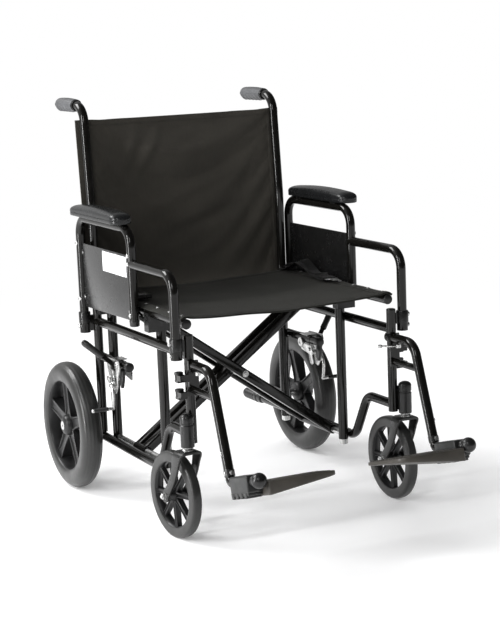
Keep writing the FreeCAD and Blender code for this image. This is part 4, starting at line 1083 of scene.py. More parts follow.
def push_grips():
    """Push grips with a crowned top, finger grooves beneath and a dark flange."""
    for name in SIDES:
        low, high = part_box(f"{name}_push_grip")
        x, z = (low.x + high.x) / 2, (low.z + high.z) / 2
        radius = (high.z - low.z) / 2
        length = high.y - low.y
        flange = 4 * MM
        rings = []
        count = 90
        fingers_from, finger_pitch = 14 * MM, 20 * MM
        for index in range(count + 1):
            share = index / count
            y = low.y + flange + (length - flange) * share
            tail = (1 - share) * (length - flange) / (13 * MM)
            close = math.sqrt(max(1 - max(1 - tail, 0) ** 2.6, 0.0)) if tail < 1 else 1.0
            crown = 0.80 + 0.20 * math.sin(math.pi * min(0.08 + share * 0.78, 1)) ** 0.9
            along = y - low.y - fingers_from
            ridge = 0.5 - 0.5 * math.cos(math.tau * along / finger_pitch) if along > 0 else 0.5
            ring = []
            for u, v in circle(1.0, 48):
                grow = radius * (crown if v > 0 else 0.93)
                if v < 0:
                    grow -= 4.6 * MM * (1 - ridge**0.7) * (-v) ** 1.3
                # a raised pad runs along the top, with a fine groove to each side of it
                grow -= 0.9 * MM * math.exp(-((v - 0.42) / 0.07) ** 2)
                ring.append(Vector((x + u * grow * 0.93 * close / (crown if v > 0 else 1) ** 0.7, y,
                                    z + v * grow * close)))
            rings.append(ring)
        grip = Shape()
        grip.loft(rings)
        grip.piece(f"{name}_handle_grip", materials["grip"], f"{name}_frame", "grip_rubber",
                   [f"{name}_push_grip"], 60)
        collar = Shape()
        collar.lathe([(0, 11.2 * MM), (0, radius * 0.72), (1 * MM, radius * 0.8),
                      (flange - 1 * MM, radius * 0.82), (flange + 0.6 * MM, radius * 0.8),
                      (flange + 0.6 * MM, 11.2 * MM)],
                     at((x, low.y, z), Y), 48)
        collar.piece(f"{name}_grip_collar", materials["plastic"], f"{name}_frame", "moulded_black")

        low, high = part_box(f"{name}_tipping_grip")
        x, z = (low.x + high.x) / 2, (low.z + high.z) / 2
        radius, length = (high.x - low.x) / 2, high.y - low.y
        profile = [(0, 11.2 * MM), (0, radius * 0.93), (2 * MM, radius), (14 * MM, radius)]
        for number in range(9):
            start = (17 + 6 * number) * MM
            profile += [(start, radius * 0.93), (start + 1.6 * MM, radius * 0.985),
                        (start + 3.4 * MM, radius * 0.985), (start + 4.8 * MM, radius * 0.93)]
        profile += [(length - 9 * MM, radius * 0.95), (length - 4 * MM, radius * 0.85),
                    (length - 1 * MM, radius * 0.6), (length, 0)]
        tip = Shape()
        tip.lathe(profile, at((x, low.y, z), Y), 40)
        tip.piece(f"{name}_tipping_tip", materials["satin"], f"{name}_frame", "grip_rubber",
                  [f"{name}_tipping_grip"])
        ring = Shape()
        ring.lathe([(-18 * MM, 11.1 * MM), (-17 * MM, 13.5 * MM), (-2 * MM, 14.5 * MM),
                    (-0.4 * MM, 14 * MM), (-0.4 * MM, 11.1 * MM)], at((x, low.y, z), Y), 36)
        ring.piece(f"{name}_tipping_collar", materials["plastic"], f"{name}_frame", "moulded_black")


# ---------------------------------------------------------------- wheels

def tyre_profile(half_width, outer, depth, grooves=(), groove_depth=0.8 * MM, steps=64, square=0.92):
    """A round tyre's section, bead to bead: pairs of distance across and radius.

    The lower the value of square, the flatter the tread and the sidewalls.
    """
    profile = []
    for step in range(steps + 1):
        angle = math.radians(-122 + 244 * step / steps)
        across = half_width * math.copysign(abs(math.sin(angle)) ** square, math.sin(angle))
        flat = math.copysign(abs(math.cos(angle)) ** (square * 0.93), math.cos(angle))
        radius = outer - depth + depth * flat
        for groove in grooves:
            radius -= groove_depth * math.exp(-((abs(across) - groove) / (1.1 * MM)) ** 2)
        profile.append((across, radius))
    return profile


def spoke(shape, hub, inner, outer, widths, depths, angle, dish=0.0):
    """One moulded spoke with raised edges and a sunken middle on both faces."""
    turn = Matrix.Translation(hub) @ Matrix.Rotation(angle, 4, X)
    rings = []
    count = 10
    for index in range(count + 1):
        share = index / count
        reach = inner + (outer - inner) * share
        flare = (2 * share - 1) ** 4
        width = (widths[0] + (widths[1] - widths[0]) * share) * (1 + 0.28 * flare)
        depth = depths[0] + (depths[1] - depths[0]) * share
        half, face = width / 2, depth / 2
        lip, sink = min(3.2 * MM, width * 0.2), min(face * 0.45, 4 * MM) * (1 - flare * 0.6)
        edge = 1.2 * MM
        ring = []
        for sign in (1, -1):
            ring += [(-half * sign, (face - edge) * sign), (-(half - edge) * sign, face * sign),
                     (-(half - lip) * sign, face * sign), (-(half - lip - 1.6 * MM) * sign,
                                                           (face - sink) * sign),
                     ((half - lip - 1.6 * MM) * sign, (face - sink) * sign),
                     ((half - lip) * sign, face * sign), ((half - edge) * sign, face * sign),
                     (half * sign, (face - edge) * sign)]
        rings.append([turn @ Vector((across + dish * share, along, reach)) for along, across in ring])
    shape.loft(rings)


def rear_wheels():
    """Solid rear tyres on five-spoke moulded wheels, with a flat hub cap."""
    first_spoke = {"left": 57, "right": 1}
    for name, side in SIDES.items():
        body = f"{name}_rear_wheel"
        low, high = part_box(f"{name}_rear_tyre")
        hub = (low + high) / 2
        outer = (high.z - low.z) / 2
        half = (high.x - low.x) / 2
        bed = (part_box(f"{name}_rear_rim")[1].z - hub.z)
        facing = at(hub, X * side)
        tyre = Shape()
        depth = (outer - bed) * 0.66
        profile = tyre_profile(half, outer, depth, (0, 9 * MM, 17 * MM), 0.8 * MM)
        inner = bed - 1 * MM
        profile = [(-half * 0.72, inner), *profile, (half * 0.72, inner)]
        tyre.lathe(profile, facing, 144, closed=True)
        tyre.piece(f"{name}_rear_tyre_tread", materials["tyre"], body, "tyre_rubber",
                   [f"{name}_rear_tyre"], 50)

        rim = Shape()
        lip = [(21 * MM, bed + 2.2 * MM), (22.6 * MM, bed + 1.8 * MM), (23.4 * MM, bed - 0.2 * MM),
               (22.8 * MM, bed - 3 * MM), (21 * MM, bed - 4.4 * MM), (16 * MM, bed - 5.4 * MM),
               (6 * MM, bed - 8 * MM)]
        section = [(-across, radius) for across, radius in lip] + lip[::-1]
        section += [(17 * MM, bed - 1.5 * MM), (-17 * MM, bed - 1.5 * MM)]
        rim.lathe(section, facing, 96, closed=True)
        for number in range(5):
            angle = math.radians(first_spoke[name] + 72 * number)
            spoke(rim, hub, 20 * MM, bed - 6 * MM, (31 * MM, 25 * MM), (22 * MM, 31 * MM), angle)
        rim.lathe([(-22 * MM, 8 * MM), (-22 * MM, 21 * MM), (-20 * MM, 24 * MM), (-12 * MM, 27 * MM),
                   (12 * MM, 27 * MM), (19 * MM, 24 * MM), (21.5 * MM, 22.4 * MM),
                   (22.5 * MM, 21 * MM), (22.5 * MM, 8 * MM)], facing, 56)
        rim.piece(f"{name}_rear_spokes", materials["rim"], body, "rim_plastic",
                  [f"{name}_rear_rim"], 40)
        cap = Shape()
        cap.lathe([(21.5 * MM, 20.5 * MM), (22.6 * MM, 20 * MM), (24.4 * MM, 17 * MM),
                   (25.6 * MM, 12 * MM), (26.4 * MM, 6 * MM), (26.6 * MM, 0)], facing, 48)
        cap.piece(f"{name}_hub_cap", materials["rim"], body, "rim_plastic")


def casters():
    """Front casters: housings, arched forks, solid tyres and eight-spoke wheels.

    Each is drawn pointing straight back, at the sizes of the left one, and then turned about
    its stem as far as the CAD has swivelled it.
    """
    low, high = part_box("left_caster_tyre")
    outer, half = (high.z - low.z) / 2, (high.x - low.x) / 2
    rim_low, rim_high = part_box("left_caster_rim")
    bed, hub_half = (rim_high.z - rim_low.z) / 2, (rim_high.x - rim_low.x) / 2
    for name, side in SIDES.items():
        stem = Vector(joints[f"{name}_caster_swivel"]["pos_m"])
        spin = joints[f"{name}_caster_spin"]
        place = Vector(spin["pos_m"])
        trail = (place - stem).to_2d().length
        hub = Vector((stem.x, stem.y + trail, place.z))
        turn = Matrix.Rotation(math.atan2(spin["axis"][1], spin["axis"][0]), 4, "Z")
        turn = Matrix.Translation(stem) @ turn @ Matrix.Translation(-stem)
        facing = at(hub, X * side)
        body = f"{name}_caster_wheel"
        tyre = Shape()
        depth = (outer - bed) * 0.7
        profile = [(-half * 0.7, bed - 1.6 * MM),
                   *tyre_profile(half, outer, depth, steps=40, square=0.52),
                   (half * 0.7, bed - 1.6 * MM)]
        tyre.lathe(profile, facing, 112, closed=True)
        tyre.transform(turn)
        tyre.piece(f"{name}_caster_tread", materials["tyre"], body, "tyre_rubber",
                   [f"{name}_caster_tyre"], 50)
        rim = Shape()
        lip = [(9.6 * MM, bed + 1.2 * MM), (10.6 * MM, bed), (10.4 * MM, bed - 2.2 * MM),
               (8.6 * MM, bed - 3.6 * MM), (4 * MM, bed - 6.5 * MM)]
        section = [(-across, radius) for across, radius in lip] + lip[::-1]
        section += [(8 * MM, bed - 1.2 * MM), (-8 * MM, bed - 1.2 * MM)]
        rim.lathe(section, facing, 80, closed=True)
        for number in range(8):
            angle = math.radians(40 + 45 * number)
            spoke(rim, hub, 13 * MM, bed - 5 * MM, (11 * MM, 10 * MM), (16 * MM, 13 * MM), angle)
        rim.lathe([(-hub_half, 5 * MM), (-hub_half, 9.5 * MM), (-hub_half + 6 * MM, 11 * MM),
                   (-9 * MM, 16 * MM), (9 * MM, 16 * MM), (hub_half - 6 * MM, 11 * MM),
                   (hub_half, 9.5 * MM), (hub_half, 5 * MM)], facing, 48)
        rim.transform(turn)
        rim.piece(f"{name}_caster_spokes", materials["rim"], body, "rim_plastic",
                  [f"{name}_caster_rim"], 40)
        caster_fork(name, side, hub, stem, turn)


def caster_fork(name, side, axle, stem, turn):
    """An arched fork, its axle bolt, and the housing that its stem turns in."""
    low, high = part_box("left_caster_fork")
    crown_z = 213 * MM
    half = (high.x - low.x) / 2
    wall = 5.5 * MM
    # The fork's front and rear edges, as heights and distances behind the stem.
    front_edge = [(213, -19), (186, -4), (161, 7), (138, 20), (114, 38), (100, 49)]
    rear_edge = [(213, 20), (178, 27), (153, 36), (129, 52), (110, 71), (100, 79)]

    def edge(table, z):
        for (z0, y0), (z1, y1) in zip(table, table[1:]):
            if z1 * MM <= z <= z0 * MM:
                share = (z0 * MM - z) / ((z0 - z1) * MM)
                return (y0 + (y1 - y0) * share) * MM
        reach = math.sqrt(max((15 * MM) ** 2 - (z - axle.z) ** 2, 0.0))
        way = -1 if table is front_edge else 1
        return (axle.y - stem.y) + way * reach

    route = [(-1, axle.z - 14.9 * MM), (-1, axle.z - 13 * MM), (-1, axle.z - 9 * MM)]
    route += [(-1, axle.z + step * 7 * MM) for step in range(0, 13)]
    leg = [(-(half - wall / 2), z) for _, z in route]
    bend = rounded([Vector((-(half - wall / 2), axle.z + 86 * MM)),
                    Vector((-(half - wall / 2), crown_z - wall / 2 - 0.5 * MM)),
                    Vector((0, crown_z - wall / 2 - 0.5 * MM))], 25 * MM, 10)
    arch = leg + [(p.x, p.y) for p in bend]
    arch += [(-x, z) for x, z in arch[-2::-1]]
    rings = []
    for index, (x, z) in enumerate(arch):
        ahead, behind = arch[min(index + 1, len(arch) - 1)], arch[max(index - 1, 0)]
        way = Vector((ahead[0] - behind[0], 0, ahead[1] - behind[1])).normalized()
        out = Vector((-way.z, 0, way.x))
        front, rear = stem.y + edge(front_edge, z), stem.y + edge(rear_edge, z)
        middle, reach = (front + rear) / 2, (rear - front) / 2
        top = abs(x) < half * 0.6
        thick = wall * (1.35 if top else 1.0)
        ring = []
        for u, v in rectangle(max(2 * reach, 2 * MM), thick, min(1.7 * MM, max(reach, MM) * 0.8), 3):
            ring.append(Vector((stem.x + x, middle + u, z)) + out * v)
        rings.append(ring)
    fork = Shape()
    fork.loft(rings)
    fork.rod((stem.x, stem.y, crown_z - 4 * MM), (stem.x, stem.y, 274 * MM), 8 * MM, 1 * MM)
    fork.transform(turn)
    fork.piece(f"{name}_fork_arch", materials["satin"], f"{name}_caster_fork", "frame_paint",
               [f"{name}_caster_fork"], 40)
    bolts = Shape()
    for way in (1, -1):
        hex_nut(bolts, (stem.x + way * half, axle.y, axle.z), X * way, 13 * MM, 6.4 * MM)
        bolts.rod(axle + X * way * half, axle + X * way * (half + 10 * MM), 4.2 * MM, 0.8 * MM)
    bolts.rod(axle - X * (half - 1 * MM), axle + X * (half - 1 * MM), 4 * MM)
    bolts.lathe([(0, 8.5 * MM), (0, 13 * MM), (2.2 * MM, 13 * MM), (5.5 * MM, 10 * MM),
                 (7.4 * MM, 10 * MM), (7.4 * MM, 8.5 * MM)],
                at((stem.x, stem.y, crown_z + 0.3 * MM)), 36)
    bolts.transform(turn)
    bolts.piece(f"{name}_caster_bolts", materials["zinc"], f"{name}_caster_fork", "zinc_steel",
                [f"{name}_caster_axle"])

    low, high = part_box(f"{name}_caster_housing")
    radius = 15.5 * MM
    height = high.z - low.z
    housing = Shape()
    housing.lathe([(0, 8.4 * MM), (0, radius - 1.2 * MM), (1.2 * MM, radius), (49 * MM, radius),
                   (50.5 * MM, radius - 1.6 * MM), (53 * MM, radius - 1.6 * MM),
                   (54.5 * MM, radius), (height - 9 * MM, radius), (height - 6 * MM, radius - 0.8 * MM),
                   (height - 2.4 * MM, radius - 4.5 * MM), (height - 0.5 * MM, radius - 9 * MM),
                   (height, 0)], at((stem.x, stem.y, low.z)), 48)
    ends = sorted((side * (SIDE_X + 8 * MM), stem.x - side * 9 * MM))
    housing.block((ends[0], stem.y + 4 * MM, low.z + 6 * MM), (ends[1], stem.y + 20 * MM, 285 * MM),
                  2.4 * MM)
    housing.piece(f"{name}_stem_housing", materials["plastic"], f"{name}_frame", "moulded_black",
                  [f"{name}_caster_housing"])


# ---------------------------------------------------------------- brakes

def plate_facing_x(shape, outline, x, y, z, thickness, bevel=0.5 * MM, corner=4 * MM):
    """A flat link across X, its outline in millimetres of (forward, up) from a point."""
    points = [Vector((-a * MM, b * MM)) for a, b in outline]
    smooth = rounded(points, corner, 4, closed=True)
    place = Matrix.Translation((x, y, z)) @ FACING_X
    shape.prism([(p.x, p.y) for p in smooth], thickness, place, bevel)


def brakes():
    """Push-to-lock brakes: pressed links, bolts and a spring on the frame, a lever and a shoe bar."""
    for name, side in SIDES.items():
        lever = Vector(joints[f"{name}_brake_lever_push"]["pos_m"])
        shoe = Vector(joints[f"{name}_brake_shoe_swing"]["pos_m"])
        low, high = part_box(f"{name}_brake_clamp")
        tube_x, tube_z = side * SIDE_X, 335 * MM
        tube_front_y = 127.5 * MM
        links = Shape()
        # Outlines are in millimetres, forward of and above the shoe bar's pivot.
        main_plate = [(-36, 49), (36, 51), (42, 38), (33, 18), (27, 0), (25, -16), (10, -36),
                      (-5, -32), (-11, -6), (-28, 10), (-40, 30)]
        rear_link = [(-50, 22), (-38, 28), (-16, 0), (-6, -30), (-14, -38), (-24, -34), (-34, -8)]
        strap = [(-12, 46), (2, 48), (17, -4), (15, -14), (3, -16), (-1, -6)]
        inner_plate = [(-32, 26), (34, 24), (42, 8), (38, -2), (18, 2), (-18, 8)]
        for outline, x, thickness in ((main_plate, 279, 2.6), (rear_link, 274.6, 2.4),
                                      (strap, 284, 2.6), (inner_plate, 247.4, 2.4)):
            plate_facing_x(links, outline, side * x * MM, shoe.y, shoe.z, thickness * MM)
        ends = sorted((side * 246.4 * MM, side * 280.2 * MM))
        links.block((ends[0], shoe.y - 14 * MM, tube_z + 11.4 * MM),
                    (ends[1], shoe.y + 24 * MM, tube_z + 13.4 * MM), 0.8 * MM)
        links.rod((side * 262 * MM, lever.y, lever.z), (side * 286.5 * MM, lever.y, lever.z),
                  3.9 * MM, 0.6 * MM)
        links.rod((side * 262 * MM, shoe.y, shoe.z), (side * 294 * MM, shoe.y, shoe.z),
                  3.9 * MM, 0.6 * MM)
        for forward, up, radius, x, way in ((-20, 32, 10, 280.4, 1), (24, 36, 9, 280.4, 1),
                                            (-20, 26, 12, 246.2, -1)):
            links.lathe([(0, radius * MM), (1.4 * MM, radius * MM), (2.4 * MM, (radius - 1) * MM),
                         (2.4 * MM, radius * 0.45 * MM), (1 * MM, radius * 0.4 * MM), (1 * MM, 0)],
                        at((side * x * MM, shoe.y - forward * MM, shoe.z + up * MM), X * side * way), 32)
        for forward, up, x, across, way in ((9, -8, 285.4, 10, 1), (-3, 38, 285.4, 9, 1),
                                            (-28, -22, 275.9, 8, 1), (26, 14, 246.2, 9, -1)):
            hex_nut(links, (side * x * MM, shoe.y - forward * MM, shoe.z + up * MM),
                    X * side * way, across * MM, 3.6 * MM)
        links.block((side * 284 * MM - 4 * MM, shoe.y - 20 * MM, shoe.z - 22 * MM),
                    (side * 284 * MM + 4 * MM, shoe.y - 7 * MM, shoe.z - 14 * MM), 1.4 * MM)
        # The return spring, with its long leg.
        coil = []
        for step in range(90):
            turn = math.tau * 3.5 * step / 89
            coil.append(Vector((side * (279.5 * MM + 5 * MM * step / 89),
                                shoe.y + 26 * MM + 7.5 * MM * math.cos(turn),
                                shoe.z - 4 * MM + 7.5 * MM * math.sin(turn))))
        coil += [coil[-1] + Vector((0, -6 * MM, -12 * MM)), coil[-1] + Vector((0, -10 * MM, -30 * MM))]
        links.sweep(coil, circle(1.1 * MM, 8))
        links.piece(f"{name}_brake_links", materials["zinc"], f"{name}_frame", "zinc_steel",
                    [f"{name}_brake_clamp"])
        # A plastic sleeve on the tube, a wedge-shaped guard and the tube's front plug.
        wrap = Shape()
        wrap.lathe([(-24 * MM, 10.6 * MM), (-24 * MM, 11.2 * MM), (-22 * MM, 11.4 * MM),
                    (22 * MM, 11.4 * MM), (24 * MM, 11.2 * MM), (24 * MM, 10.6 * MM)],
                   at((tube_x, (low.y + high.y) / 2, tube_z), Y), 32)
        wedge = [(28, 30), (46, 26), (42, 2), (32, -20), (24, -14), (22, 6)]
        plate_facing_x(wrap, wedge, side * 270 * MM, shoe.y, shoe.z, 7 * MM, 1 * MM)
        wrap.lathe([(-9 * MM, 11.4 * MM), (0, 11.6 * MM), (2.4 * MM, 10.8 * MM), (3.6 * MM, 8.5 * MM),
                    (4 * MM, 0)], at((tube_x, tube_front_y, tube_z), -Y), 32)
        wrap.piece(f"{name}_brake_mount", materials["plastic"], f"{name}_frame", "moulded_black")

        box_low, box_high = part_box(f"{name}_brake_lever")
        tip_x = box_high.x - 8.5 * MM if side > 0 else box_low.x + 8.5 * MM
        tip = Vector((tip_x, box_low.y + 1 * MM + 43 * MM, box_high.z - 8.5 * MM))
        root = Vector((side * 283 * MM, lever.y - 3 * MM, lever.z + 7 * MM))
        handle = Shape()
        bend = smooth_path([root + Vector((0, 0, -9 * MM)), root, root.lerp(tip, 0.34)
                            + Z * 2 * MM, root.lerp(tip, 0.62)], 8)
        flat = rectangle(12 * MM, 3 * MM, 1.2 * MM, 2)
        handle.sweep(bend, flat, side=X)
        handle.lathe([(-2.2 * MM, 4.2 * MM), (-2.2 * MM, 9 * MM), (2.2 * MM, 9 * MM),
                      (2.2 * MM, 4.2 * MM)], at(lever - X * side * 0.2 * MM, X * side), 32)
        hex_nut(handle, lever + X * side * 2.4 * MM, X * side, 9 * MM, 3 * MM)
        handle.piece(f"{name}_brake_handle", materials["paint"], f"{name}_brake_lever",
                     "frame_paint", [f"{name}_brake_lever"])
        rubber = Shape()
        way = (tip - root).normalized()
        start = root.lerp(tip, 0.36)
        length = (tip - start).length + 6.5 * MM
        rubber.lathe([(0, 4 * MM), (0, 7.4 * MM), (1.5 * MM, 8.2 * MM), (length * 0.3, 7.8 * MM),
                      (length * 0.6, 8.2 * MM), (length * 0.85, 8.5 * MM), (length * 0.95, 7 * MM),
                      (length, 3 * MM), (length + 0.4 * MM, 0)], at(start, way), 32)
        rubber.piece(f"{name}_brake_grip", materials["satin"], f"{name}_brake_lever", "moulded_black")

        box_low, box_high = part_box(f"{name}_brake_shoe_arm")
        bar_z = box_low.z + 5 * MM
        bar_y = shoe.y - 13 * MM
        rod = Shape()
        path = smooth_path([shoe, shoe + Vector((0, -12 * MM, -14 * MM)),
                            shoe + Vector((0, -18 * MM, -32 * MM)),
                            shoe + Vector((0, -16 * MM, -52 * MM)),
                            Vector((shoe.x, bar_y, bar_z))], 8)
        rod.sweep(path, circle(3.6 * MM, 16))
        reach = side * 345 * MM
        rod.rod((shoe.x - side * 3 * MM, bar_y, bar_z), (reach, bar_y, bar_z), 4.4 * MM, 1.2 * MM)
        rod.lathe([(-2.4 * MM, 4.2 * MM), (-2.4 * MM, 8 * MM), (2.4 * MM, 8 * MM),
                   (2.4 * MM, 4.2 * MM)], at(shoe, X * side), 32)
        rod.piece(f"{name}_brake_rod", materials["zinc"], f"{name}_brake_shoe", "zinc_steel",
                  [f"{name}_brake_shoe_arm"])
        knurl = Shape()
        knurl.lathe([(0, 4.5 * MM), (0, 5 * MM)] + [
            ((1 + number) * MM, (5 if number % 2 else 4.6) * MM) for number in range(34)
        ] + [(36 * MM, 4.5 * MM)], at((shoe.x + side * 14 * MM, bar_y, bar_z), X * side), 28)
        knurl.piece(f"{name}_brake_shoe_sleeve", materials["plastic"], f"{name}_brake_shoe",
                    "moulded_black")


# ---------------------------------------------------------------- legrests

def legrests():
    """Hanger details, the release lever, the footrest tube with its ball cap, and the footplate."""
    for name, side in SIDES.items():
        flip = joints[f"{name}_footplate_flip"]
        corner = Vector(flip["pos_m"])
        forward = -Vector(flip["axis"]) * side
        up = forward.cross(X)
        rise = Vector(joints[f"{name}_footrest_height"]["axis"])
        hanger_end = corner + rise * 13 * MM
        local = Matrix((X, -forward, up)).transposed().to_4x4()
        local.translation = corner

        ball_radius = 17 * MM
        ball_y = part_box(f"{name}_footrest_tube")[0].y + ball_radius
        ball = corner + forward * ((ball_y - corner.y) / forward.y)
        tube = Shape()
        route = rounded([corner + rise * 100 * MM, corner, ball], 14 * MM, 6)
        radii = [9.4 * MM if (p - corner).dot(rise) > 11 * MM else 10.9 * MM for p in route]
        tube.sweep(route, circle(1.0, 32), scales=radii)
        tube.piece(f"{name}_footrest_bar", materials["paint"], f"{name}_footrest", "frame_paint",
                   [f"{name}_footrest_tube"], 40)
        cap = Shape()
        cap.lathe([(-26 * MM, 11 * MM), (-26 * MM, 12.6 * MM), (-17 * MM, 12.6 * MM),
                   (-15 * MM, 11.4 * MM)] +
                  [(-ball_radius * math.cos(a), ball_radius * math.sin(a))
                   for a in [0.86 + (math.pi - 0.86) * i / 18 for i in range(18)]] +
                  [(ball_radius, 0)], at(ball, forward), 40)
        cap.piece(f"{name}_ball_cap", materials["plastic"], f"{name}_footrest", "moulded_black")

        footplate = Shape()
        ends = sorted((-side * 21 * MM, side * 18 * MM))
        footplate.block((ends[0], -117 * MM, -23 * MM), (ends[1], -29 * MM, 14 * MM), 4 * MM, local, 4)
        footplate.block((ends[0] + 2 * MM, -112 * MM, -29 * MM), (ends[1] - 2 * MM, -34 * MM, -18 * MM),
                        2 * MM, local)
        for number in range(4):
            y = -104 + 21 * number
            footplate.block((ends[0] + 1 * MM, y * MM, -34 * MM),
                            (ends[1] - 1 * MM, (y + 13) * MM, -20 * MM), 1.6 * MM, local)
        footplate.piece(f"{name}_footplate_hinge", materials["hinge"], f"{name}_footplate",
                        "moulded_black", [f"{name}_footplate"])
        # The tread's corners, in millimetres from the tube's bend: inwards, and forward as a minus.
        tread = Shape()
        corners = [(-16, -26), (-16, -148), (-177, -152), (-199, -22)]
        outline = []
        points = [Vector((side * x * MM, y * MM)) for x, y in corners]
        for index, point in enumerate(points):
            before, after = points[index - 1], points[(index + 1) % 4]
            radius = 22 * MM if index > 1 else 6 * MM
            bent = rounded([before.lerp(point, 0.5), point, point.lerp(after, 0.5)], radius, 7)
            outline += [(p.x, p.y) for p in bent[1:-1]]
        shift = local @ Matrix.Translation((0, 0, -10 * MM))
        tread.prism(outline, 11.6 * MM, shift, 1.8 * MM)
        inverse = local.inverted()
        # Its underside is deep at the hinge and thin at the inner edge.
        for vert in tread.mesh.verts:
            place = inverse @ vert.co
            share = min(max((abs(place.x) - 20 * MM) / (175 * MM), 0), 1)
            if place.z < -10 * MM:
                place.z += 4.2 * MM * share - 17 * MM * (1 - share)
            vert.co = local @ place
        for number in range(9):
            y = -140 + 14 * number
            reach = 176 + (y + 152) * 22 / 130 - (12 if number in (0, 8) else 6)
            ends = sorted((-side * 30 * MM, -side * reach * MM))
            tread.block((ends[0], y * MM, -5 * MM), (ends[1], (y + 5) * MM, -3.1 * MM), 0.8 * MM, local)
        tread.piece(f"{name}_footplate_tread", materials["plate"], f"{name}_footplate",
                    "moulded_black", [])

        hinge = Vector(joints[f"{name}_legrest_swing"]["pos_m"])
        latch = Vector(joints[f"{name}_latch_turn"]["pos_m"])
        body = f"{name}_legrest"
        details = Shape()
        hanger_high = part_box(f"{name}_hanger")[1]
        top_bar = Vector((side * 257 * MM, hanger_high.y - 8 * MM, 402 * MM))
        for z in (343, 381):
            details.lathe([(0, 9.1 * MM), (0, 10 * MM), (4 * MM, 10 * MM), (5 * MM, 9 * MM),
                           (5.4 * MM, 5.2 * MM)], at((hinge.x, hinge.y, z * MM)), 32)
        details.lathe([(-2 * MM, 11.6 * MM), (14 * MM, 11.6 * MM), (16 * MM, 11 * MM)],
                      at(top_bar, -Y), 32)
        details.rod(hanger_end + rise * 1 * MM, hanger_end + rise * 17 * MM, 11.9 * MM, 1.2 * MM)
        details.piece(f"{name}_hanger_fittings", materials["plastic"], body, "moulded_black")
        screws = Shape()
        for along in (9, 52):
            point = hanger_end + rise * along * MM
            screw_head(screws, point + X * side * 11.2 * MM, X * side, 3.2 * MM, 1.8 * MM)
        point = hanger_end + rise * 9 * MM - Vector((0, rise.z, -rise.y)) * 11.6 * MM
        hex_nut(screws, point, -Vector((0, rise.z, -rise.y)), 9 * MM, 4 * MM)
        screws.piece(f"{name}_hanger_screws", materials["zinc"], body, "zinc_steel")

        box_low, box_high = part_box(f"{name}_hanger_latch")
        knob_x = box_low.x + 4.5 * MM if side > 0 else box_high.x - 4.5 * MM
        knob = Vector((knob_x, box_high.y - 4.5 * MM, latch.z))
        lever = Shape()
        path = smooth_path([latch, latch.lerp(knob, 0.35) - Y * 3 * MM, latch.lerp(knob, 0.75),
                            knob], 8)
        lever.sweep(path, rectangle(3 * MM, 9 * MM, 1 * MM, 2), side=Z)
        lever.lathe([(-4 * MM, 0), (-4 * MM, 6.2 * MM), (3 * MM, 6.2 * MM), (4 * MM, 5.2 * MM),
                     (4 * MM, 0)], at(latch), 28)
        lever.lathe([(-3.5 * MM, 0), (-3.5 * MM, 4 * MM), (-2 * MM, 4.6 * MM), (2.5 * MM, 4.6 * MM),
                     (3.5 * MM, 3.6 * MM), (3.5 * MM, 0)], at(knob), 28)
        lever.piece(f"{name}_release_lever", materials["zinc"], f"{name}_leg_latch", "zinc_steel",
                    [f"{name}_hanger_latch"])


# ---------------------------------------------------------------- cross brace and frame hardware

def cross_brace():
    """The four crossing bars with their pivot sleeves and rail saddles, and the centre bolts."""
    for label, pivot_name, rail in (("crossbar_a", "fold", "right_seat_rail"),
                                    ("crossbar_b", "fold_far_side", "left_seat_rail")):
        low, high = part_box(label)
        pivot = Vector(joints[pivot_name]["pos_m"])
        rail_centre = centre(rail)
        size = 23 * MM
        bars = Shape()
        foot = Vector((pivot.x, 0, pivot.z))
        head = Vector((rail_centre.x, 0, rail_centre.z))
        way = (head - foot).normalized()
        for y in (low.y + size / 2, high.y - size / 2):
            start, end = foot + way * 6 * MM, head - way * 7 * MM
            start.y = end.y = y
            bars.sweep([start, end], rectangle(size, size, 5 * MM, 4), side=Y)
            bars.lathe([(-size / 2 - 1.5 * MM, 12.2 * MM), (-size / 2 - 1.5 * MM, 15 * MM),
                        (size / 2 + 1.5 * MM, 15 * MM), (size / 2 + 1.5 * MM, 12.2 * MM)],
                       at((head.x, y, head.z), Y), 36)
        bars.lathe([(low.y, 7.2 * MM), (low.y, 10.6 * MM), (low.y + 1 * MM, 11.5 * MM),
                    (high.y - 1 * MM, 11.5 * MM), (high.y, 10.6 * MM), (high.y, 7.2 * MM)],
                   at((pivot.x, 0, pivot.z), Y), 36)
        bars.piece(f"{label}_tubes", materials["paint"], label, "frame_paint", [label], 40)
    hub = Vector(joints["fold_centre"]["pos_m"])
    a_low, a_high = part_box("crossbar_a")
    b_low, b_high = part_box("crossbar_b")
    bolts = Shape()
    spacers = Shape()
    for outer, inner, way in ((a_low.y, b_low.y, 1), (a_high.y, b_high.y, -1)):
        face = Vector((hub.x, outer, hub.z))
        bolts.lathe([(-1.2 * MM, 8 * MM), (-0.2 * MM, 8 * MM)], at(face, Y * way), 32)
        hex_nut(bolts, face - Y * way * 1 * MM, -Y * way, 10 * MM, 4.2 * MM)
        start = outer + way * 23.2 * MM
        end = inner - way * 0.2 * MM
        spacers.rod((hub.x, start, hub.z), (hub.x, end, hub.z), 10 * MM, 0.6 * MM)
        bolts.rod((hub.x, outer, hub.z), (hub.x, inner + way * 24 * MM, hub.z), 5 * MM)
    bolts.piece("centre_bolts", materials["zinc"], "crossbar_a", "zinc_steel", ["cross_pivot_bolts"])
    spacers.piece("centre_spacers", materials["plastic"], "crossbar_a", "moulded_black")


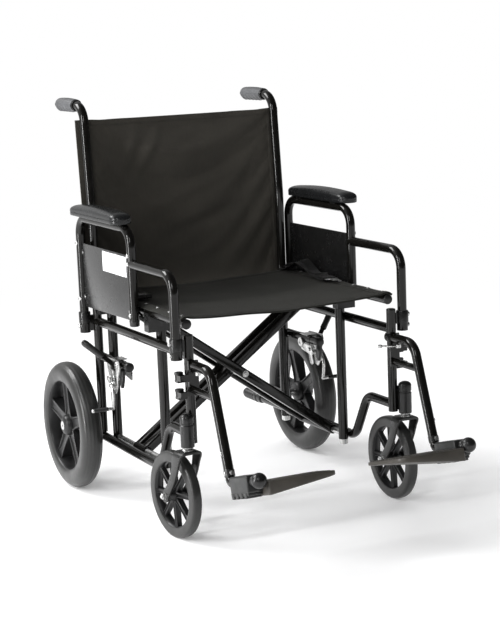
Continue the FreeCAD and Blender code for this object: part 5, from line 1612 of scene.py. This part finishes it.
def frame_hardware():
    """Nuts under the posts, frame screws, back screws and tube plugs."""
    for name, side in SIDES.items():
        body = f"{name}_frame"
        post_x = side * INNER_POST_X
        post_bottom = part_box(f"{name}_side_tubes")[0].z
        mid_y, rear_y, front_y = -21.5 * MM, 284.5 * MM, -224.5 * MM
        front_top = 466 * MM
        nuts = Shape()
        for y in (mid_y, rear_y):
            nuts.block((post_x - 8.5 * MM, y - 8.5 * MM, post_bottom - 12.8 * MM),
                       (post_x + 8.5 * MM, y + 8.5 * MM, post_bottom - 1.2 * MM), 1.6 * MM)
        nuts.piece(f"{name}_post_nuts", materials["nut"], body, "zinc_steel")
        cane_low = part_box(f"{name}_back_cane")[0]
        screws = Shape()
        for number in range(5):
            z = (500 + 90 * number) * MM
            y = cane_low.y + TUBE + max(0, z - LEAN_Z) * LEAN
            screw_head(screws, (side * SIDE_X, y + 16.5 * MM, z), Y, 3.6 * MM, 1.8 * MM)
        screws.piece(f"{name}_frame_screws", materials["zinc"], body, "zinc_steel")
        plugs = Shape()
        plugs.lathe([(-5 * MM, 9 * MM), (0, 9 * MM), (0, 11 * MM), (2 * MM, 10.6 * MM),
                     (3.2 * MM, 8 * MM), (3.4 * MM, 0)],
                    at((side * SIDE_X, front_y, front_top)), 32)
        plugs.piece(f"{name}_post_plug", materials["plastic"], body, "moulded_black")


# ---------------------------------------------------------------- the whole chair

materials = {
    "paint": powder_coat(),
    "plastic": moulded_plastic("moulded_black", (0.005, 0.005, 0.005), (0.010, 0.010, 0.010), 0.30),
    "hinge": moulded_plastic("moulded_grey", (0.010, 0.0105, 0.0102), (0.018, 0.019, 0.0185), 0.40),
    "plate": moulded_plastic("footplate_plastic", (0.036, 0.033, 0.028), (0.064, 0.058, 0.050), 0.4),
    "satin": moulded_plastic("satin_black", (0.008, 0.008, 0.0078), (0.015, 0.015, 0.0145), 0.30),
    "panel": moulded_plastic("guard_panel", (0.006, 0.006, 0.006), (0.009, 0.009, 0.009), 0.22,
                             specular=0.9),
    "nut": moulded_plastic("post_nut", (0.55, 0.55, 0.54), (0.70, 0.70, 0.69), 0.4),
    "rim": moulded_plastic("rim_plastic", (0.006, 0.006, 0.0062), (0.013, 0.013, 0.0135), 0.38),
    "grip": grip_rubber(),
    "tyre": tyre_rubber(),
    "zinc": zinc_steel(),
    "back": woven_nylon("back_nylon", "XZ", (0.024, 0.0215, 0.0172), (0.042, 0.0380, 0.0310)),
    "seat": woven_nylon("seat_nylon", "XY", (0.0105, 0.0108, 0.0093), (0.0205, 0.0203, 0.0178),
                        specular=0.12, sheen=0.06),
    "webbing": belt_webbing(),
    "vinyl": arm_vinyl(),
    "label": plain_label(),
    "thread": sewing_thread(),
}
# What each CAD node that stays in view is finished with; the rest are painted.
node_finish = {"frame_bolts": "zinc", "rail_saddles": "plastic"}
for node_name, node in nodes.items():
    kind = node_name.split("_", 1)[1]
    node.data.materials.clear()
    node.data.materials.append(materials[node_finish.get(kind, "paint")])

add_camera()
add_studio()
back_upholstery()
seat_upholstery()
seat_belts()
arm_pads()
armrest_details()
frame_sockets()
push_grips()
rear_wheels()
casters()
brakes()
legrests()
cross_brace()
frame_hardware()
